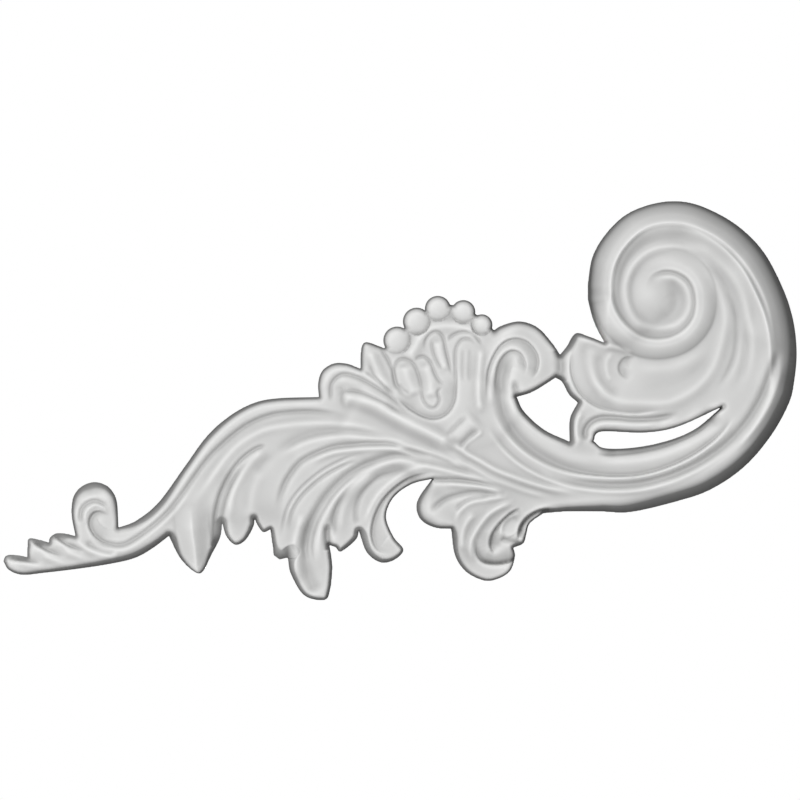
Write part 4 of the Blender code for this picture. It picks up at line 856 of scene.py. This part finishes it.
def skin(front, distance, lean):
    """Points, heights and faces of the closed body: the carved front, its walls and the flat back. The
    points follow the outline and the top of the wall, and fill a net of triangles that is finer where the
    front is busy. A point on the wall has the front's height times how far along the lean it is."""
    loops = [even(line, EDGE_STEP) for line in contours(front, distance, 0.0) if len(line) > SHORT_EDGE]
    edge = np.vstack(loops)
    rings = []
    for ring in RINGS:
        closed = contours(front, distance - lean, ring)
        rings += [even(line, EDGE_STEP) for line in closed if len(line) > SHORT_RING]
    x, z = np.meshgrid(np.arange(front.x[0], front.x[-1], SURFACE_STEP),
                       np.arange(front.z[0], front.z[-1], SURFACE_STEP * ROW_HEIGHT))
    x[1::2] += SURFACE_STEP / 2
    # Where the front is quiet, every second point of every second row stays, staggered.
    coarse = np.zeros(x.shape, bool)
    coarse[0::4, 0::2] = True
    coarse[2::4, 1::2] = True
    net = np.column_stack([x.ravel(), z.ravel()])
    fine = np.abs(front.height - blur(front.height, BUSY_WIDTH / front.pitch))
    detail = blur(fine, BUSY_BLUR / front.pitch)
    wanted = (sample(front, detail, net) > BUSY) | coarse.ravel()
    clear = sample(front, distance - lean, net) > RINGS[-1] + NET_MARGIN * SURFACE_STEP
    net = net[clear & wanted]
    points = np.vstack([edge] + rings + [net])
    rim = []
    for line in loops:
        ids = list(range(len(rim), len(rim) + len(line)))
        rim += zip(ids, ids[1:] + ids[:1])
    ahead, behind = without_twins(triangles(points, rim, loops), triangles(edge, rim, loops))
    wall = np.clip(sample(front, distance, points) / sample(front, lean, points), 0, 1)
    heights = sample(front, front.height, points) * wall
    heights[:len(edge)] = 0
    return points, heights, np.vstack([ahead, behind[:, ::-1]])


class Sock:
    """A shader value or colour that takes part in plain arithmetic."""

    def __init__(self, tree, out):
        self.tree = tree
        self.out = out

    def node(self, kind, settings, **inputs):
        """A new node of that kind, with its settings and then its inputs, as its first output."""
        node = self.tree.nodes.new(kind)
        for name, value in settings.items():
            setattr(node, name, value)
        for name, value in inputs.items():
            numbered = name[0] == "i" and name[1:].isdigit()
            socket = node.inputs[int(name[1:]) if numbered else name]
            if isinstance(value, Sock):
                self.tree.links.new(value.out, socket)
            else:
                socket.default_value = value
        return Sock(self.tree, node.outputs[0])

    def noise(self, scale, detail):
        """Noise over this place."""
        return self.node("ShaderNodeTexNoise", {}, Vector=self, Scale=scale, Detail=detail)

    def __add__(self, other):
        return self.node("ShaderNodeMath", {"operation": "ADD"}, i0=self, i1=other)

    def __mul__(self, other):
        return self.node("ShaderNodeMath", {"operation": "MULTIPLY"}, i0=self, i1=other)

    __radd__ = __add__
    __rmul__ = __mul__

    def to(self, node, name):
        """Feeds a node's input."""
        self.tree.links.new(self.out, node.inputs[name])


def new_paint(name):
    """A new material, its node tree, its shader and the place on the object."""
    paint = bpy.data.materials.new(name)
    paint.use_nodes = True
    tree = paint.node_tree
    place = Sock(tree, tree.nodes.new("ShaderNodeTexCoord").outputs["Object"])
    return paint, tree, tree.nodes["Principled BSDF"], place


def primer():
    """Satin white primer with faint clouds and grain, with painted shade in the creases, hollows and at the
    foot of the walls, and painted light on the crests.
    """
    paint, tree, shader, place = new_paint("white primer")
    clouds = place.noise(CLOUD_SCALE, 2.0)
    grain = place.noise(GRAIN_SCALE, 3.0)
    pores = place.noise(PORE_SCALE, 2.0)
    attribute = tree.nodes.new("ShaderNodeAttribute")
    attribute.attribute_name = "painted_relief_shade"
    painted_relief_shade = Sock(tree, attribute.outputs["Fac"])
    # Painted shade and light: the relief attribute darkens the creases, hollows and wall foot and lightens
    # the crests.
    value = (PAINT + MOTTLE * clouds + MOTTLE * grain) * (1 + PAINTED_SHADE_STRENGTH * painted_relief_shade)
    colour = value.node("ShaderNodeCombineColor", {}, Red=value, Green=value, Blue=WARMTH * value)
    colour.to(shader, "Base Color")
    (ROUGHNESS + GRAIN_ROUGHNESS * grain).to(shader, "Roughness")
    bump = grain.node("ShaderNodeBump", {}, Strength=BUMP_STRENGTH, Distance=BUMP_DEPTH,
                      Height=PORE_SHARE * pores + (1 - PORE_SHARE) * grain)
    bump.to(shader, "Normal")
    return paint


def chalk():
    """Pale matt floor with a faint mottle, thin enough for the white backdrop to shine through."""
    matt, _, shader, place = new_paint("pale floor")
    shader.inputs["Roughness"].default_value = FLOOR_ROUGHNESS
    shader.inputs["Alpha"].default_value = FLOOR_COVER
    value = FLOOR_GREY + MOTTLE * place.noise(FLOOR_SCALE, 3.0)
    value.node("ShaderNodeCombineColor", {}, Red=value, Green=value, Blue=value).to(shader, "Base Color")
    return matt


def painted_relief_shade(front, points):
    """Painted light and shade, from how far each point stands above the front around it: a share of fine
    lines against a narrow mean and of broad forms against a wider one, each from -1 to 1, less a share for
    deep hollows, from 0 to 1. Higher values paint the primer lighter, lower ones darker."""
    near = sample(front, front.height - blur(front.height, FINE_WIDTH / front.pitch), points)
    far = sample(front, front.height - blur(front.height, BROAD_WIDTH / front.pitch), points)
    fine = np.clip(near / FINE_HEIGHT, -1, 1)
    broad = np.clip(far / BROAD_HEIGHT, -1, 1)
    deep = np.clip((-far - DEEP_FROM) / DEEP_OVER, 0, 1)
    return FINE_SHARE * fine + BROAD_SHARE * broad - DEEP_SHARE * deep


def put(name, data):
    """A new object in the scene, at the origin."""
    thing = bpy.data.objects.new(name, data)
    bpy.context.scene.collection.objects.link(thing)
    return thing


def onlay():
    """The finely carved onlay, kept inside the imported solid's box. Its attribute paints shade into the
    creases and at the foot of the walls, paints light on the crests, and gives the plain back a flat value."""
    front, distance, lean = carve(BOARD_PITCH)
    points, heights, faces = skin(front, distance, lean)
    place = np.column_stack([points[:, 0], -heights, points[:, 1]]) * UNIT
    place = np.clip(place, *START)
    mesh = bpy.data.meshes.new("onlay")
    mesh.from_pydata(place.tolist(), [], faces.tolist())
    mesh.shade_smooth()
    mesh.set_sharp_from_angle(angle=math.radians(SHARP))
    # Painted light and shade from the relief for every point of the skin.
    shade = painted_relief_shade(front, points)
    # Painted shade at the foot of the walls: a strong fixed darkening that makes a dark rim.
    shade[heights <= 0] = FOOT_PAINTED_SHADE
    shade = shade[faces]
    shade[(heights[faces] <= 0).all(axis=1)] = BACK_SHADE
    mesh.attributes.new("painted_relief_shade", "FLOAT", "CORNER").data.foreach_set("value", shade.ravel())
    mesh.materials.append(primer())
    piece = put("onlay", mesh)
    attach(piece, "root")
    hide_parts("scroll_onlay")


def floor():
    """A pale disc well below the onlay."""
    turn = np.linspace(0, 2 * math.pi, FLOOR_SIDES, endpoint=False)
    level = np.full(FLOOR_SIDES, FLOOR_LEVEL)
    rim = np.column_stack([FLOOR_RADIUS * np.cos(turn), FLOOR_RADIUS * np.sin(turn), level])
    mesh = bpy.data.meshes.new("floor")
    mesh.from_pydata(rim.tolist(), [], [list(range(FLOOR_SIDES))])
    mesh.materials.append(chalk())
    put("floor", mesh)


def lamp(name, place, size, power):
    """A square soft light aimed at the onlay."""
    light = bpy.data.lights.new(name, "AREA")
    light.shape = "SQUARE"
    light.size = size
    light.energy = power
    holder = put(name, light)
    holder.location = place
    holder.rotation_euler = (-Vector(place)).to_track_quat("-Z", "Y").to_euler()


def studio():
    """A white backdrop for the camera alone, faint light from all round, and the lamps."""
    bpy.context.scene.view_settings.view_transform = "Standard"
    world = bpy.data.worlds.new("studio")
    bpy.context.scene.world = world
    world.use_nodes = True
    tree = world.node_tree
    tree.nodes.clear()
    seen = Sock(tree, tree.nodes.new("ShaderNodeLightPath").outputs["Is Camera Ray"])
    room = seen.node("ShaderNodeBackground", {}, Color=WHITE, Strength=ROOM_LIGHT)
    backdrop = seen.node("ShaderNodeBackground", {}, Color=WHITE, Strength=BACKDROP_LIGHT)
    mix = seen.node("ShaderNodeMixShader", {}, i0=seen, i1=room, i2=backdrop)
    mix.to(tree.nodes.new("ShaderNodeOutputWorld"), "Surface")
    for name, (place, size, power) in LAMPS.items():
        lamp(name, place, size, power)


def camera():
    """A long lens square to the front."""
    lens = bpy.data.cameras.new("camera")
    lens.lens = CAMERA_LENS
    lens.sensor_width = CAMERA_SENSOR
    lens.clip_end = CAMERA_SIGHT
    eye = put("camera", lens)
    eye.location = (0, -CAMERA_DISTANCE, CAMERA_HEIGHT)
    eye.rotation_euler = (math.pi / 2, 0, 0)
    bpy.context.scene.camera = eye


onlay()
floor()
studio()
camera()
